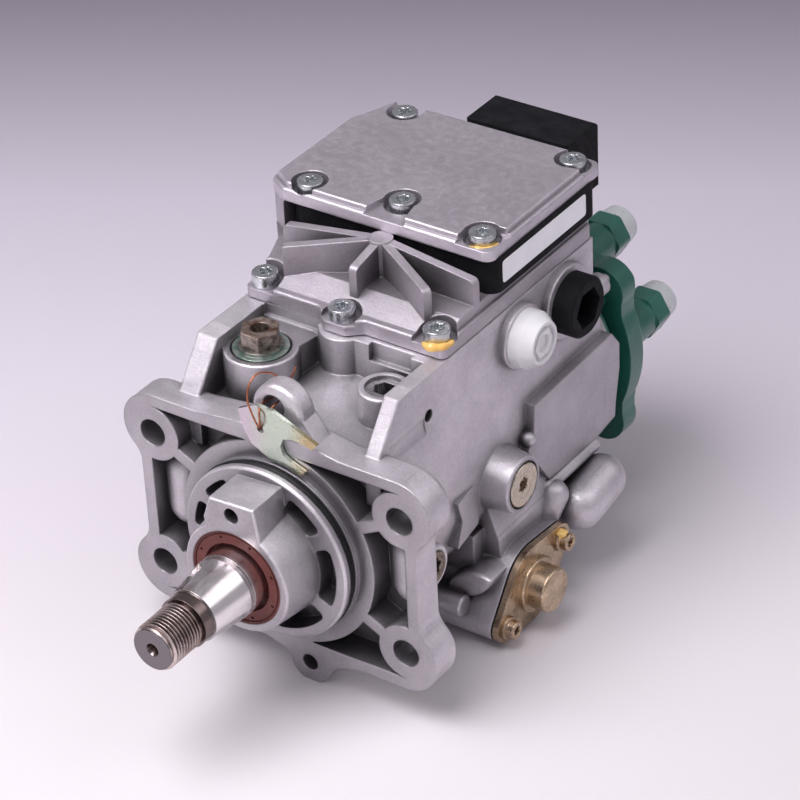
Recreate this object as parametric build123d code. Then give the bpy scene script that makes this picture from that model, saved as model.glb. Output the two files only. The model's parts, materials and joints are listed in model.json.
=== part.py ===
from build123d import *
import os
from math import acos, atan2, cos, degrees, hypot, radians, sin, sqrt

# Distributor injection pump with radial plungers and a control unit on top.
# Millimetres. Origin: centre of the mounting flange's front face, on the shaft axis.
# -Y points at the drive end, +Z up, +X to the right as seen from the drive end.

# Fits
SEAT = 0.01
RUN = 0.04
AIR = 0.3

# Mounting flange
FLANGE_T = 14.0
BOLT_X = 53.4
BOLT_Z = 28.4
BOLT_R = 5.5
EAR_X = 52.4
EAR_Z = 30.6
EAR_R = 13.9
WAIST_X = 59.6
WAIST_FILLET = 9.0
FLANGE_WEB = 4.6
FLANGE_EDGE_R = 2.4
POCKET_DEPTH = 12.0
BOLT_BOSS_R = 11.4
RING_R = 41.4
DIAGONAL_RIB = 4.6
FOOT_X = 10.6
FOOT_Z = -49.5
FOOT_R = 8.4
FOOT_HOLE_R = 3.3
LUG_X = 2.5
LUG_Z = 54.5
LUG_R = 10.8
LUG_EYE_R = 4.6
LUG_Y0 = 2.0
LUG_T = 9.0
LUG_EDGE_R = 2.0

CAST_R = 1.0

# Pilot, nose and shaft seal
PILOT_R = 35.0
PILOT_L = 8.0
PILOT_CHAMFER = 0.9
O_RING_T = 3.2
O_RING_Y = -3.4
O_RING_PROUD = 0.2
NOSE_R = 22.0
NOSE_ROOT_R = 24.0
NOSE_Y = -25.0
NOSE_POCKET_R = 30.8
NOSE_POCKET_DEPTH = 17.0
NOSE_BLOCK_X = 9.6
NOSE_BLOCK_Z = 32.0
NOSE_HOLE_R = 3.0
NOSE_HOLE_Z = 26.6
SEAL_R = 19.0
SEAL_T = 8.0
SEAL_DIMPLES = 8

# Drive shaft
SHAFT_R = 12.5
TIP_Y = -72.9
THREAD_R = 9.0
THREAD_L = 17.5
COLLAR_R = 10.2
COLLAR_L = 5.0
CONE_SMALL_R = 10.4
CONE_END_Y = -33.0
KEY_W = 5.0
KEY_CUTTER_R = 11.0
KEY_Y = -43.0
KEY_FLOOR_R = 7.6
KEY_ANGLE = 140.0
BEARING_R = 16.0
BEARING_Y0 = -16.5
BEARING_Y1 = 1.5

# Casing behind the flange
CAVITY_R = 33.0
CAVITY_Y = 11.0
BARREL_R = 44.0
REAR_Y = 154.0
RIM_R = 46.6
RIM_L = 12.0
DECK_Z = 61.7
DECK_LEFT = -46.4
DECK_RIGHT = 40.5
DECK_FRONT = 46.5
DECK_BACK = 148.0
ARM_Y = 21.0
ARM_FOOT_Y = 8.0
ARM_L_X = -37.4
ARM_R_X = 34.2
VALLEY_R0 = 44.5
VALLEY_R1 = 48.0
SIDE_TOP_Z = 42.5
PAD_X = -25.9
PAD_Y = 31.3
PAD_Z = 57.0
PAD_R = 13.8
SOCKET_BOSS_X = 24.8
SOCKET_BOSS_Y = 34.6
SOCKET_BOSS_Z = 55.0
SOCKET_BOSS_R = 9.6
LABEL_X = 48.0

# Feed pump
VANE_RING_R = CAVITY_R - SEAT
VANE_RING_IN = 25.0
VANE_RING_SHIFT = 1.6
VANE_ROTOR_R = 23.0
VANE_Y0 = 11.0
VANE_Y1 = 23.5
PORT_PLATE_T = 4.0
VANE_T = 2.4
VANE_COUNT = 4

# Lock collar, angle wheel, cage
LOCK_COLLAR_R = 31.5
LOCK_COLLAR_Y0 = 28.0
LOCK_COLLAR_Y1 = 39.0
WHEEL_R = 30.5
WHEEL_T = 2.0
WHEEL_TEETH = 36
NECK_R = 16.0
CAGE_R = 23.0
CAGE_BORE_R = 14.3
CAGE_Y0 = 57.0
CAGE_Y1 = 92.0

# Cam ring, rollers, plungers
CAM_Y = 77.0
CAM_W = 22.0
CAM_BASE_R = 27.2
CAM_LIFT = 3.2
CAM_LOBES = 6
CAM_RING_R = CAVITY_R - RUN
ROLLER_R = 4.0
ROLLER_L = 19.0
ROLLER_COUNT = 3
ROLLER_AT = CAM_BASE_R - CAM_LIFT - ROLLER_R - 0.12
SHOE_W = 12.0
SHOE_L = 21.0
PLUNGER_R = 3.5
PLUNGER_IN = 3.6
ROTOR_HEAD_R = 14.0
ROTOR_R = 9.0

# Timing device, crosswise under the cam ring
TIMING_Z = -45.0
TIMING_R = 17.0
TIMING_BORE_R = 10.8
TIMING_RIGHT = 54.2
TIMING_LEFT = -50.0
PIN_REST_DEG = 8.0
PIN_R = 3.4
PIN_BALL_R = 5.0
PISTON_L = 42.0
PISTON_GAP = 0.08
TIMING_BOLT_R = 20.5
TIMING_BOLT_DEG = 24.0
TIMING_DISC_R = 16.2
TIMING_EAR_R = 6.2
TIMING_COVER_T = 2.4
TIMING_STEP_R = 11.0
TIMING_STEP_L = 2.4
TIMING_KNOB_R = 8.8
TIMING_KNOB_L = 9.6
TIMING_SKIRT = 34.0
GASKET_T = 0.8

# Distributor head and outlets
HEAD_R = CAVITY_R - SEAT
HEAD_Y0 = 97.0
HEAD_PLATE_Y = 163.0
HEAD_PLATE_T = 10.0
HEAD_PLATE_R = 47.5
HEAD_EAR_AT = 44.5
HEAD_EAR_DEG = 40.0
HEAD_EAR_R = 10.0
HEAD_NECK_R = 36.0
HEAD_BAND_R = 44.6
HEAD_BAND_T = 3.0
SLEEVE_R = 17.0
SLEEVE_Y1 = 151.0
OUTLETS = 6
OUTLET_AT = 33.6
OUTLET_DEG = 2.0
HOLDER_R = 8.4
HOLDER_BASE_L = 18.5
HOLDER_AF = 17.0
HOLDER_HEX_L = 8.5
HOLDER_THREAD_R = 6.0
HOLDER_BORE_R = 3.6
VALVE_LIFT = 1.5
CAP_R = 8.6
CAP_L = 8.0
SCREW_DEG = 37.0
HEAD_SCREW_AT = 41.0
HEAD_SCREW_R = 4.0

# High-pressure solenoid
SOLENOID_R = 20.0
SOLENOID_L = 30.0
NEEDLE_R = 3.0
NEEDLE_LIFT = 0.4
ARMATURE_R = 10.0

# Control unit
BASE_Z = 62.2
BASE_EDGE_T = 5.8
BASE_FRONT = 49.7
BASE_BACK = 148.0
BASE_X0 = -46.0
BASE_X1 = 40.3
BASE_DECK_Z = 72.0
LOBE_X = -2.8
LOBE_Y = 45.0
PAD_CUT_Z = 66.0
UNIT_SCREW_R = 5.0
UNIT_SCREW_H = 5.2
STAR_X = -3.0
STAR_Y = 75.5
STAR_Z = 86.0
STAR_END_Z = 82.0
STAR_T = 3.4
RING_FRONT = 81.0
RING_BACK = 150.0
RING_X0 = -47.0
RING_X1 = 41.7
RING_WALL = 3.5
COVER_Z = 86.1
COVER_EDGE_T = 4.9
COVER_TOP_Z = 93.0
COVER_FRONT = 79.3
COVER_BACK = 154.4
COVER_X0 = -57.4
COVER_X1 = 41.0
PLUG_X0 = -18.0
PLUG_X1 = 26.0
PLUG_Y1 = 175.8
PLUG_Z0 = 66.0

# Ports and plugs on the right side
PORT_WALL_X = 43.3
RETURN_Y = 95.8
RETURN_Z = 47.8
RETURN_R = 12.4
RETURN_CAP_R = 11.0
FEED_Y = 126.6
FEED_Z = 46.0
FEED_R = 14.8
FEED_PLUG_R = 12.0
FEED_KEY = 14.2
TORX_Y = 75.7
TORX_Z = -1.0
TORX_X = 55.0
TORX_BOSS_R = 11.0
TORX_R = 8.6
SMALL_TORX_X = 51.5
SMALL_TORX_Y = 22.5
SMALL_TORX_Z = -6.0
SMALL_TORX_R = 6.6
PRESSURE_X = -47.5
PRESSURE_Y = 34.0
PRESSURE_Z = 4.0
PRESSURE_R = 7.5
VALVE_X = -30.0
VALVE_Z = -46.0
SENSOR_Y0 = 42.0
SENSOR_Y1 = 53.0

BASE_SCREWS = [(-40.5, 55.2), (LOBE_X - 0.3, 50.0), (33.9, 55.2)]
COVER_SCREWS = [(-41.4, 86.4), (-4.7, 92.2), (32.7, 87.3), (32.7, 147.5), (-40.6, 146.4)]


# Helpers: solids along each axis, prisms and simple sketches

def y_cyl(radius, y0, y1, x=0.0, z=0.0):
    return Pos(x, (y0 + y1) / 2, z) * Rot(90, 0, 0) * Cylinder(radius, y1 - y0)


def x_cyl(radius, x0, x1, y=0.0, z=0.0):
    return Pos((x0 + x1) / 2, y, z) * Rot(0, 90, 0) * Cylinder(radius, x1 - x0)


def z_cyl(radius, z0, z1, x=0.0, y=0.0):
    return Pos(x, y, (z0 + z1) / 2) * Cylinder(radius, z1 - z0)


def y_cone(r0, r1, y0, y1):
    return Pos(0, (y0 + y1) / 2, 0) * Rot(-90, 0, 0) * Cone(r0, r1, y1 - y0)


def x_cone(r0, r1, x0, x1, y, z):
    return Pos((x0 + x1) / 2, y, z) * Rot(0, 90, 0) * Cone(r0, r1, x1 - x0)


def capsule(radius, start, end):
    way = Vector(*end) - Vector(*start)
    middle = (Vector(*start) + Vector(*end)) / 2
    rod = Plane(origin=middle, z_dir=way) * Cylinder(radius, way.length)
    return rod + Pos(*start) * Sphere(radius) + Pos(*end) * Sphere(radius)


def y_ring(r_out, r_in, y0, y1, x=0.0, z=0.0):
    return y_cyl(r_out, y0, y1, x, z) - y_cyl(r_in, y0 - 1, y1 + 1, x, z)


def along_y(face, y0, y1):
    return extrude(Plane.XZ.offset(-y1) * face, y1 - y0)


def along_x(face, x0, x1):
    return extrude(Plane.YZ.offset(x0) * face, x1 - x0)


def along_z(face, z0, z1):
    return extrude(Plane.XY.offset(z0) * face, z1 - z0)


def block(x0, x1, y0, y1, z0, z1):
    return Pos((x0 + x1) / 2, (y0 + y1) / 2, (z0 + z1) / 2) * Box(x1 - x0, y1 - y0, z1 - z0)


def polygon(points, radius=0.0):
    if radius > 0:
        return make_face(FilletPolyline(*points, radius=radius, close=True))
    return make_face(Polyline(*points, close=True))


def sector(r_in, r_out, deg0, deg1, corner):
    middle = (deg0 + deg1) / 2
    reach = 2 * r_out
    tips = [(reach * cos(radians(a)), reach * sin(radians(a))) for a in (deg0, middle, deg1)]
    face = (Circle(r_out) - Circle(r_in)) & polygon([(0, 0)] + tips)
    return fillet(face.vertices(), corner)


def soft(solid, radius):
    # Rounds the round rims of a plain boss
    return fillet(solid.edges().filter_by(GeomType.CIRCLE), radius)


def hexagon(flat, y0, y1, x, z):
    return along_y(Pos(x, z) * RegularPolygon(flat / 2, 6, major_radius=False), y0, y1)


def polar(radius, deg):
    return radius * cos(radians(deg)), radius * sin(radians(deg))


def save(name, shape):
    solids = shape.solids() if hasattr(shape, "solids") else [shape]
    out = solids[0] if len(solids) == 1 else Compound(children=list(solids))
    out.label = name
    export_step(out, "parts/" + name + ".step")
    return out


# Casing

def flange_outline(inset=0.0):
    ear = 2 * (EAR_R - inset)
    bars = Pos(0, EAR_Z) * SlotCenterToCenter(2 * EAR_X, ear)
    bars += Pos(0, -EAR_Z) * SlotCenterToCenter(2 * EAR_X, ear)
    face = bars + Rectangle(2 * (WAIST_X - inset), 2 * EAR_Z)
    waist = [v for v in face.vertices() if abs(abs(v.X) - WAIST_X + inset) < 0.01]
    face = fillet(waist, WAIST_FILLET)
    if inset > 0:
        return face
    face += Pos(FOOT_X, FOOT_Z) * Circle(FOOT_R)
    bottom = -(EAR_Z + EAR_R)
    foot = [v for v in face.vertices() if abs(v.Y - bottom) < 0.01 and abs(v.X - FOOT_X) < FOOT_R + 1]
    face = fillet(foot, FOOT_R * 0.7)
    top = EAR_Z + EAR_R
    rise = [(LUG_X - 38, top - 0.2), (LUG_X - 24, top + 1.4), (LUG_X - 16, top + 2.3), (LUG_X + 13, top + 2.3),
            (LUG_X + 28, top - 0.2), (0, top - 6)]
    fall = [(FOOT_X + 24, -top + 0.2), (FOOT_X + 17, -top - 1.8), (FOOT_X + 12, -top - 3.2), (FOOT_X + 8, -top - 6),
            (FOOT_X - 7.4, -top - 5.5), (FOOT_X - 12, -top - 2.2), (FOOT_X - 20, -top + 0.2), (FOOT_X, -top + 6)]
    return face + polygon(rise) + polygon(fall)


def flange_pockets():
    zone = flange_outline(FLANGE_WEB) - Circle(RING_R)
    for x in (-BOLT_X, BOLT_X):
        for z in (-BOLT_Z, BOLT_Z):
            zone -= Pos(x, z) * Circle(BOLT_BOSS_R)
            tilt = degrees(atan2(z, x))
            zone -= Rot(0, 0, tilt) * Pos(RING_R, 0) * Rectangle(RING_R, DIAGONAL_RIB)
    zone -= Pos(LUG_X - 8, EAR_Z + EAR_R / 2) * Rectangle(9, 2 * EAR_R)
    zone -= Pos(FOOT_X - 1, -(EAR_Z + EAR_R / 2)) * Rectangle(6, 2 * EAR_R)
    zone -= Pos(FOOT_X, FOOT_Z) * Circle(FOOT_R)
    cutters = []
    for face in zone.faces():
        if face.area > 40:
            cutters.append(extrude(Plane.XZ * face, -POCKET_DEPTH))
    return cutters


def pocket_bulges():
    inside = along_y(flange_outline(2.0), 1.0, FLANGE_T)
    bulges = capsule(9.0, (-47.3, 12.5, -6), (-47.3, 12.5, 10))
    bulges += capsule(9.0, (52.0, 12.5, -4), (52.0, 12.5, 9))
    bulges += capsule(4.0, (44.0, 13.0, -8), (44.0, 13.0, 12))
    return bulges & inside


def make_lug():
    base = polygon([(LUG_X - 17, 44), (LUG_X - 9, 54), (LUG_X + 9, 56), (LUG_X + 17.5, 44)])
    disc = y_cyl(LUG_R, LUG_Y0, LUG_Y0 + LUG_T, LUG_X - 0.5, LUG_Z)
    disc = soft(disc, LUG_EDGE_R)
    lug = along_y(base, LUG_Y0 + 0.4, LUG_Y0 + LUG_T - 0.4) + disc
    lug -= y_cyl(LUG_EYE_R, LUG_Y0 - 1, LUG_Y0 + LUG_T + 1, LUG_X - 1.5, LUG_Z + 2.4)
    return lug


# Radius and end points of the oil galleries cast on the side
OIL_GALLERIES = [(6.0, (48.6, 104.8, -25.0), (46.4, 101.4, -33.0)), (3.2, (46.4, 104.0, -21.4), (46.4, 136.0, -21.4)),
                 (9.6, (52.6, 116.4, -35.4), (52.6, 132.0, -32.7))]
# Outline in y and z of the raised plate cast behind the flange's right side
SIDE_PLATE = [(62.0, 5.0), (45.9, 5.0), (49.3, -4.7), (44.7, -13.8), (62.0, -13.8)]
NOSE_WINDOWS = [(36, 66), (-25, 23), (-84, -37), (-143, -96), (-172, -155), (154, 177), (120, 145)]


def make_nose():
    nose = y_cyl(PILOT_R, -PILOT_L, FLANGE_T)
    nose = chamfer(nose.edges().sort_by(Axis.Y)[0], PILOT_CHAMFER)
    nose += soft(y_cone(NOSE_R, NOSE_ROOT_R, NOSE_Y, -PILOT_L + 1), CAST_R)
    top = [(-NOSE_BLOCK_X, 0), (-NOSE_BLOCK_X - 3, 22), (-NOSE_BLOCK_X, NOSE_BLOCK_Z - 1),
           (NOSE_BLOCK_X, NOSE_BLOCK_Z), (NOSE_BLOCK_X + 2, 18), (NOSE_BLOCK_X, 0)]
    crown = along_y(polygon(top), NOSE_Y, 0)
    nose += fillet(crown.edges().group_by(Axis.Y)[0], CAST_R)
    for deg0, deg1 in NOSE_WINDOWS:
        window = sector(NOSE_ROOT_R, NOSE_POCKET_R, deg0, deg1, 2.0)
        nose -= along_y(window, -PILOT_L - 1, -PILOT_L + NOSE_POCKET_DEPTH)
    nose -= y_cyl(NOSE_HOLE_R, NOSE_Y - 1, NOSE_Y + 14, 0.0, NOSE_HOLE_Z)
    groove = O_RING_T / 2 + 0.2
    nose -= y_ring(PILOT_R + 1, PILOT_R - O_RING_T + O_RING_PROUD, O_RING_Y - groove, O_RING_Y + groove)
    return nose


def side_profile(top_x, top_z):
    # Casing wall from the barrel's widest line up to the platform, gently curved
    way = 1 if top_x > 0 else -1
    bend = ThreePointArc((way * BARREL_R, 0), ((way * BARREL_R + top_x) / 2 + way * 1.4, top_z / 2), (top_x, top_z))
    return make_face(bend + Polyline((top_x, top_z), (0, top_z), (0, 0), (way * BARREL_R, 0)))


def make_barrel():
    body = y_cyl(BARREL_R, FLANGE_T - 1, REAR_Y)
    body += soft(y_cyl(RIM_R, REAR_Y - RIM_L, REAR_Y), CAST_R)
    body += along_y(side_profile(DECK_RIGHT, SIDE_TOP_Z), FLANGE_T - 1, DECK_BACK)
    body += along_y(side_profile(DECK_LEFT, SIDE_TOP_Z - 2.5), FLANGE_T - 1, DECK_BACK)
    valley = y_cone(VALLEY_R0, VALLEY_R1, FLANGE_T - 2, DECK_FRONT + 4)
    body += valley & block(DECK_LEFT, DECK_RIGHT, 0, DECK_BACK, 0, DECK_Z)
    return body


def make_deck():
    plan = [(DECK_LEFT, DECK_FRONT + 5), (ARM_L_X, DECK_FRONT + 2), (-16, DECK_FRONT + 2), (-9, DECK_FRONT - 1),
            (ARM_R_X, DECK_FRONT - 1), (DECK_RIGHT, DECK_FRONT), (DECK_RIGHT, DECK_BACK), (DECK_LEFT, DECK_BACK)]
    deck = along_z(polygon(plan), 20, DECK_Z)
    deck += z_cyl(9.4, 30, DECK_Z, LOBE_X, DECK_FRONT + 4.4)
    profile = [(ARM_FOOT_Y, EAR_Z + EAR_R), (ARM_Y, DECK_Z), (DECK_FRONT + 6, DECK_Z),
               (DECK_FRONT + 6, 24), (ARM_FOOT_Y, 24)]
    for x0, x1 in ((ARM_R_X, DECK_RIGHT), (DECK_LEFT, ARM_L_X)):
        arm = along_x(polygon(profile), x0, x1)
        edges = [e for e in arm.edges() if e.center().Y < ARM_Y + 0.5 and e.center().Z > EAR_Z + EAR_R + 1]
        deck += fillet(edges, CAST_R)
    pad = soft(z_cyl(PAD_R, 30, PAD_Z, PAD_X, PAD_Y), CAST_R)
    shelf = [(DECK_LEFT + 1, PAD_Y - 8), (PAD_X, PAD_Y - 8), (PAD_X + PAD_R * 0.8, PAD_Y + 4),
             (PAD_X + PAD_R, DECK_FRONT + 3), (DECK_LEFT + 1, DECK_FRONT + 3)]
    deck += pad + along_z(polygon(shelf), 30, PAD_Z)
    deck += soft(z_cyl(SOCKET_BOSS_R, 30, SOCKET_BOSS_Z, SOCKET_BOSS_X, SOCKET_BOSS_Y), CAST_R)
    deck -= block(11, 29, DECK_FRONT - 4, DECK_FRONT + 1.5, 55, DECK_Z + 1)
    deck -= block(BASE_X0 + 9, -12, DECK_FRONT - 1, DECK_FRONT + 3.5, PAD_Z + 0.5, DECK_Z + 1)
    return deck


def label_face():
    pts = [(94.8, 20.0), (148.6, 21.6), (153.9, 14.6), (153.9, 4.0), (151.0, -10.0), (150.3, -16.4),
           (137.0, -18.6), (103.7, -17.7), (89.8, 2.6), (94.0, 8.6)]
    return polygon(pts)


def make_bosses():
    bosses = along_x(label_face(), 30, LABEL_X)
    bosses += soft(x_cyl(RETURN_R, 30, PORT_WALL_X, RETURN_Y, RETURN_Z), CAST_R / 2)
    bosses += soft(x_cyl(FEED_R, 30, PORT_WALL_X, FEED_Y, FEED_Z), CAST_R / 2)
    bosses += soft(x_cone(TORX_BOSS_R + 2.0, TORX_BOSS_R, 41, TORX_X, TORX_Y, TORX_Z), CAST_R)
    for r, start, end in OIL_GALLERIES:
        bosses += capsule(r, start, end)
    bosses += block(24, 46, 104, 136, -24, -19)
    bosses += block(20, 52, 116.4, 132, -41, -29)
    wedge = along_z(polygon([(38, 44), (46.6, 44), (43.9, 62), (38, 62)]), -20, 20)
    bosses += wedge & along_x(polygon(SIDE_PLATE), 36, 48)
    bosses += Pos(46.4, 92.2, 6.4) * Sphere(3.0)
    bosses += y_cyl(4.6, DECK_BACK - 8, REAR_Y + 3, 37.8, 36.2) + y_cyl(1.9, REAR_Y + 3, REAR_Y + 7, 37.8, 36.2)
    bosses -= block(0, DECK_RIGHT, 60, 160, DECK_Z, DECK_Z + 9)
    bosses += soft(x_cyl(PRESSURE_R + 3.5, PRESSURE_X, -30, PRESSURE_Y, PRESSURE_Z), CAST_R)
    bosses += soft(x_cyl(SMALL_TORX_R + 2.2, 30, SMALL_TORX_X, SMALL_TORX_Y, SMALL_TORX_Z), CAST_R)
    return bosses


def timing_outline():
    # A disc and two ears, joined by their common tangents
    disc, ear = TIMING_DISC_R, TIMING_EAR_R
    lean = degrees(acos((disc - ear) / TIMING_BOLT_R))
    face = Circle(disc)
    for side in (0, 180):
        low, high = polar(disc, lean), polar(ear, lean)
        neck = polygon([(0, 0), (low[0], -low[1]), (TIMING_BOLT_R + high[0], -high[1]),
                        (TIMING_BOLT_R + high[0], high[1]), low])
        face += Rot(0, 0, side) * (neck + Pos(TIMING_BOLT_R, 0) * Circle(ear))
    return Pos(CAM_Y, TIMING_Z) * Rot(0, 0, TIMING_BOLT_DEG) * face


def timing_bolt_spots():
    x, y = polar(TIMING_BOLT_R, TIMING_BOLT_DEG)
    return [(CAM_Y + x, TIMING_Z + y), (CAM_Y - x, TIMING_Z - y)]


def make_timing_case():
    case = x_cyl(TIMING_R - 1.4, TIMING_LEFT, TIMING_RIGHT, CAM_Y, TIMING_Z)
    case += soft(x_cyl(TIMING_R + 0.8, TIMING_LEFT + 10, TIMING_RIGHT - 14, CAM_Y, TIMING_Z), CAST_R)
    case += block(-36, 42, CAM_Y - TIMING_R + 1, CAM_Y + TIMING_R - 1, TIMING_Z, -20)
    case += along_x(timing_outline(), TIMING_RIGHT - TIMING_SKIRT, TIMING_RIGHT)
    case += along_x(timing_outline(), TIMING_LEFT, TIMING_LEFT + 5)
    for y, z in timing_bolt_spots():
        tab = x_cyl(TIMING_EAR_R, TIMING_LEFT, TIMING_LEFT + 14, y, z) + x_cyl(TIMING_EAR_R, TIMING_RIGHT - 14, TIMING_RIGHT, y, z)
        inner = x_cyl(TIMING_EAR_R, TIMING_LEFT, TIMING_LEFT + 14, (y + CAM_Y) / 2, (z + TIMING_Z) / 2)
        outer = x_cyl(TIMING_EAR_R, TIMING_RIGHT - 14, TIMING_RIGHT, (y + CAM_Y) / 2, (z + TIMING_Z) / 2)
        case += tab + inner + outer
    # Lens-shaped swelling on the front and a short post beside it
    lens = Pos(42.6, -37.8) * Rot(0, 0, 26) * (Pos(0, -9.6) * Circle(14.8) & Pos(0, 9.6) * Circle(14.8))
    swelling = along_y(lens, CAM_Y - TIMING_R - 5, CAM_Y)
    case += fillet(swelling.edges().group_by(Axis.Y)[0], 2 * CAST_R)
    case += soft(x_cyl(4.2, 22, 43.5, 52, -45), CAST_R) + block(24, 41, 52, CAM_Y - 8, -48.5, -41.5)
    shoulder = polygon([(28, -8), (43.4, -9), (48.6, -24), (49.4, -36), (28, -38)])
    case += along_y(shoulder, CAM_Y - 9, 107)
    case += y_cyl(10.5, CAM_Y, 108, VALVE_X, VALVE_Z)
    case += block(VALVE_X - 8, VALVE_X + 8, CAM_Y + 10, 108, VALVE_Z, -25)
    return case


def make_housing():
    body = along_y(flange_outline(), 0, FLANGE_T)
    body = fillet(body.edges().group_by(Axis.Y)[-1], FLANGE_EDGE_R)
    for cutter in flange_pockets():
        body -= cutter
    body += pocket_bulges()
    body += make_lug()
    body += make_nose()
    body += make_barrel()
    body += make_deck()
    body += make_bosses()
    body += make_timing_case()
    for x in (-BOLT_X, BOLT_X):
        for z in (-BOLT_Z, BOLT_Z):
            body -= y_cyl(BOLT_R, -1, FLANGE_T + 16, x, z)
            body -= y_cyl(BOLT_R + 4.5, FLANGE_T, FLANGE_T + 16, x, z)
    body -= y_cyl(FOOT_HOLE_R, -1, FLANGE_T + 1, FOOT_X, FOOT_Z)
    # Bores along the shaft axis
    body -= y_cyl(SEAL_R + SEAT, NOSE_Y - 1, NOSE_Y + SEAL_T + 0.5)
    body -= y_cyl(BEARING_R + SEAT, NOSE_Y + SEAL_T, BEARING_Y1)
    body -= y_cyl(SHAFT_R + 1.0, BEARING_Y1 - 1, CAVITY_Y + 1)
    body -= y_cyl(CAVITY_R, CAVITY_Y, REAR_Y + 1)
    # Timing bore, pin window and oil port
    body -= x_cyl(TIMING_BORE_R, TIMING_LEFT - 1, TIMING_RIGHT + 1, CAM_Y, TIMING_Z)
    window_x = abs(TIMING_Z) * sin(radians(PIN_REST_DEG)) + PIN_BALL_R + 1.5
    body -= block(-window_x, window_x, CAM_Y - PIN_BALL_R - 1, CAM_Y + PIN_BALL_R + 1, TIMING_Z, 0)
    body -= y_cyl(7.0 + SEAT, 92, 109, VALVE_X, VALVE_Z)
    body -= y_cyl(2.0, CAM_Y, 93, VALVE_X, VALVE_Z)
    body -= x_cyl(PRESSURE_R, PRESSURE_X - 1, PRESSURE_X + 14, PRESSURE_Y, PRESSURE_Z)
    # Spanner room under the platform's right wall
    body -= y_cyl(8.0, FLANGE_T, 36, 48.0, 43.5)
    body -= x_cyl(2.4, 36, 46, 38.6, 45.6)
    # Lock bolt, side plugs and ports
    body -= z_cyl(4.1, 5, PAD_Z + 1, PAD_X, PAD_Y)
    body -= z_cyl(11.2, PAD_Z - 1.4, PAD_Z + 6, PAD_X, PAD_Y)
    body -= z_cyl(7.0, SOCKET_BOSS_Z - 9, SOCKET_BOSS_Z + 1, SOCKET_BOSS_X, SOCKET_BOSS_Y)
    body -= x_cyl(9.4, TORX_X - 4.0, TORX_X + 1, TORX_Y, TORX_Z)
    body -= x_cyl(6.5, TORX_X - 14, TORX_X + 1, TORX_Y, TORX_Z)
    body -= x_cyl(SMALL_TORX_R, SMALL_TORX_X - 8, SMALL_TORX_X + 1, SMALL_TORX_Y, SMALL_TORX_Z)
    body -= x_cyl(8.0, 30, PORT_WALL_X + 1, RETURN_Y, RETURN_Z)
    body -= x_cyl(9.0, 28, PORT_WALL_X + 1, FEED_Y, FEED_Z)
    # Sensor slot over the angle wheel
    body -= block(-7, 7, SENSOR_Y0, SENSOR_Y1, 20, 42)
    # Fixing holes
    for y, z in timing_bolt_spots():
        body -= x_cyl(2.6, TIMING_RIGHT - 12, TIMING_RIGHT + 1, y, z)
        body -= x_cyl(2.6, TIMING_LEFT - 1, TIMING_LEFT + 11, y, z)
    for x, y in BASE_SCREWS:
        body -= z_cyl(2.6, DECK_Z - 12, DECK_Z + 1, x, y)
    for deg in head_screw_angles():
        x, z = polar(HEAD_SCREW_AT, deg)
        body -= y_cyl(HEAD_SCREW_R + SEAT, REAR_Y - 14, REAR_Y + 1, x, z)
    return body


# Seals, bearing and shaft line

def make_pilot_o_ring():
    ring = Torus(PILOT_R - O_RING_T / 2 + O_RING_PROUD, O_RING_T / 2)
    return Pos(0, O_RING_Y, 0) * Rot(90, 0, 0) * ring


def make_shaft_seal():
    seal = y_ring(SEAL_R, SHAFT_R + 1.4, NOSE_Y + 0.4, NOSE_Y + SEAL_T)
    seal -= y_ring(SEAL_R - 0.9, SEAL_R - 1.5, NOSE_Y - 1, NOSE_Y + 0.9)
    for i in range(SEAL_DIMPLES):
        x, z = polar(SEAL_R - 2.6, 20 + i * 360 / SEAL_DIMPLES)
        seal -= y_cyl(0.6, NOSE_Y - 1, NOSE_Y + 1.2, x, z)
    return seal + y_ring(SHAFT_R + 2, SHAFT_R + RUN, NOSE_Y + 4, NOSE_Y + SEAL_T - 1)


def make_bearing():
    return y_ring(BEARING_R, SHAFT_R + RUN, BEARING_Y0, BEARING_Y1)


def make_drive_shaft():
    cone_y = TIP_Y + THREAD_L + COLLAR_L
    shaft = y_cyl(THREAD_R, TIP_Y, TIP_Y + THREAD_L)
    shaft = chamfer(shaft.edges().sort_by(Axis.Y)[0], 1.2)
    shaft += y_cyl(COLLAR_R, TIP_Y + THREAD_L, cone_y)
    shaft += y_cone(CONE_SMALL_R, SHAFT_R, cone_y, CONE_END_Y)
    shaft += y_cyl(SHAFT_R, CONE_END_Y, LOCK_COLLAR_Y0)
    shaft -= y_ring(SHAFT_R + 1, SHAFT_R - 0.5, CONE_END_Y + 0.5, CONE_END_Y + 2.5)
    shaft -= y_cone(2.6, 0.8, TIP_Y - 0.01, TIP_Y + 4.0)
    shaft += y_cyl(LOCK_COLLAR_R, LOCK_COLLAR_Y0, LOCK_COLLAR_Y1)
    shaft += y_cyl(NECK_R, LOCK_COLLAR_Y1, CAGE_Y0)
    shaft += y_cyl(CAGE_R, CAGE_Y0, CAGE_Y1)
    shaft -= y_cyl(CAGE_BORE_R, CAGE_Y0 + 4, CAGE_Y1 + 1)
    for deg in roller_angles():
        slot = block(CAGE_BORE_R - 4, CAGE_R + 2, CAM_Y - SHOE_L / 2 - RUN, CAM_Y + SHOE_L / 2 + RUN,
                     -SHOE_W / 2 - RUN, SHOE_W / 2 + RUN)
        shaft -= Rot(0, -deg, 0) * slot
    key = Pos(KEY_FLOOR_R + KEY_CUTTER_R, KEY_Y, 0) * Cylinder(KEY_CUTTER_R, KEY_W)
    shaft -= Rot(0, -KEY_ANGLE, 0) * key
    return shaft


def make_vane_ring():
    return y_ring(VANE_RING_R, 0.1, VANE_Y0, VANE_Y1) - y_cyl(VANE_RING_IN, VANE_Y0 - 1, VANE_Y1 + 1, 0, VANE_RING_SHIFT)


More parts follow.
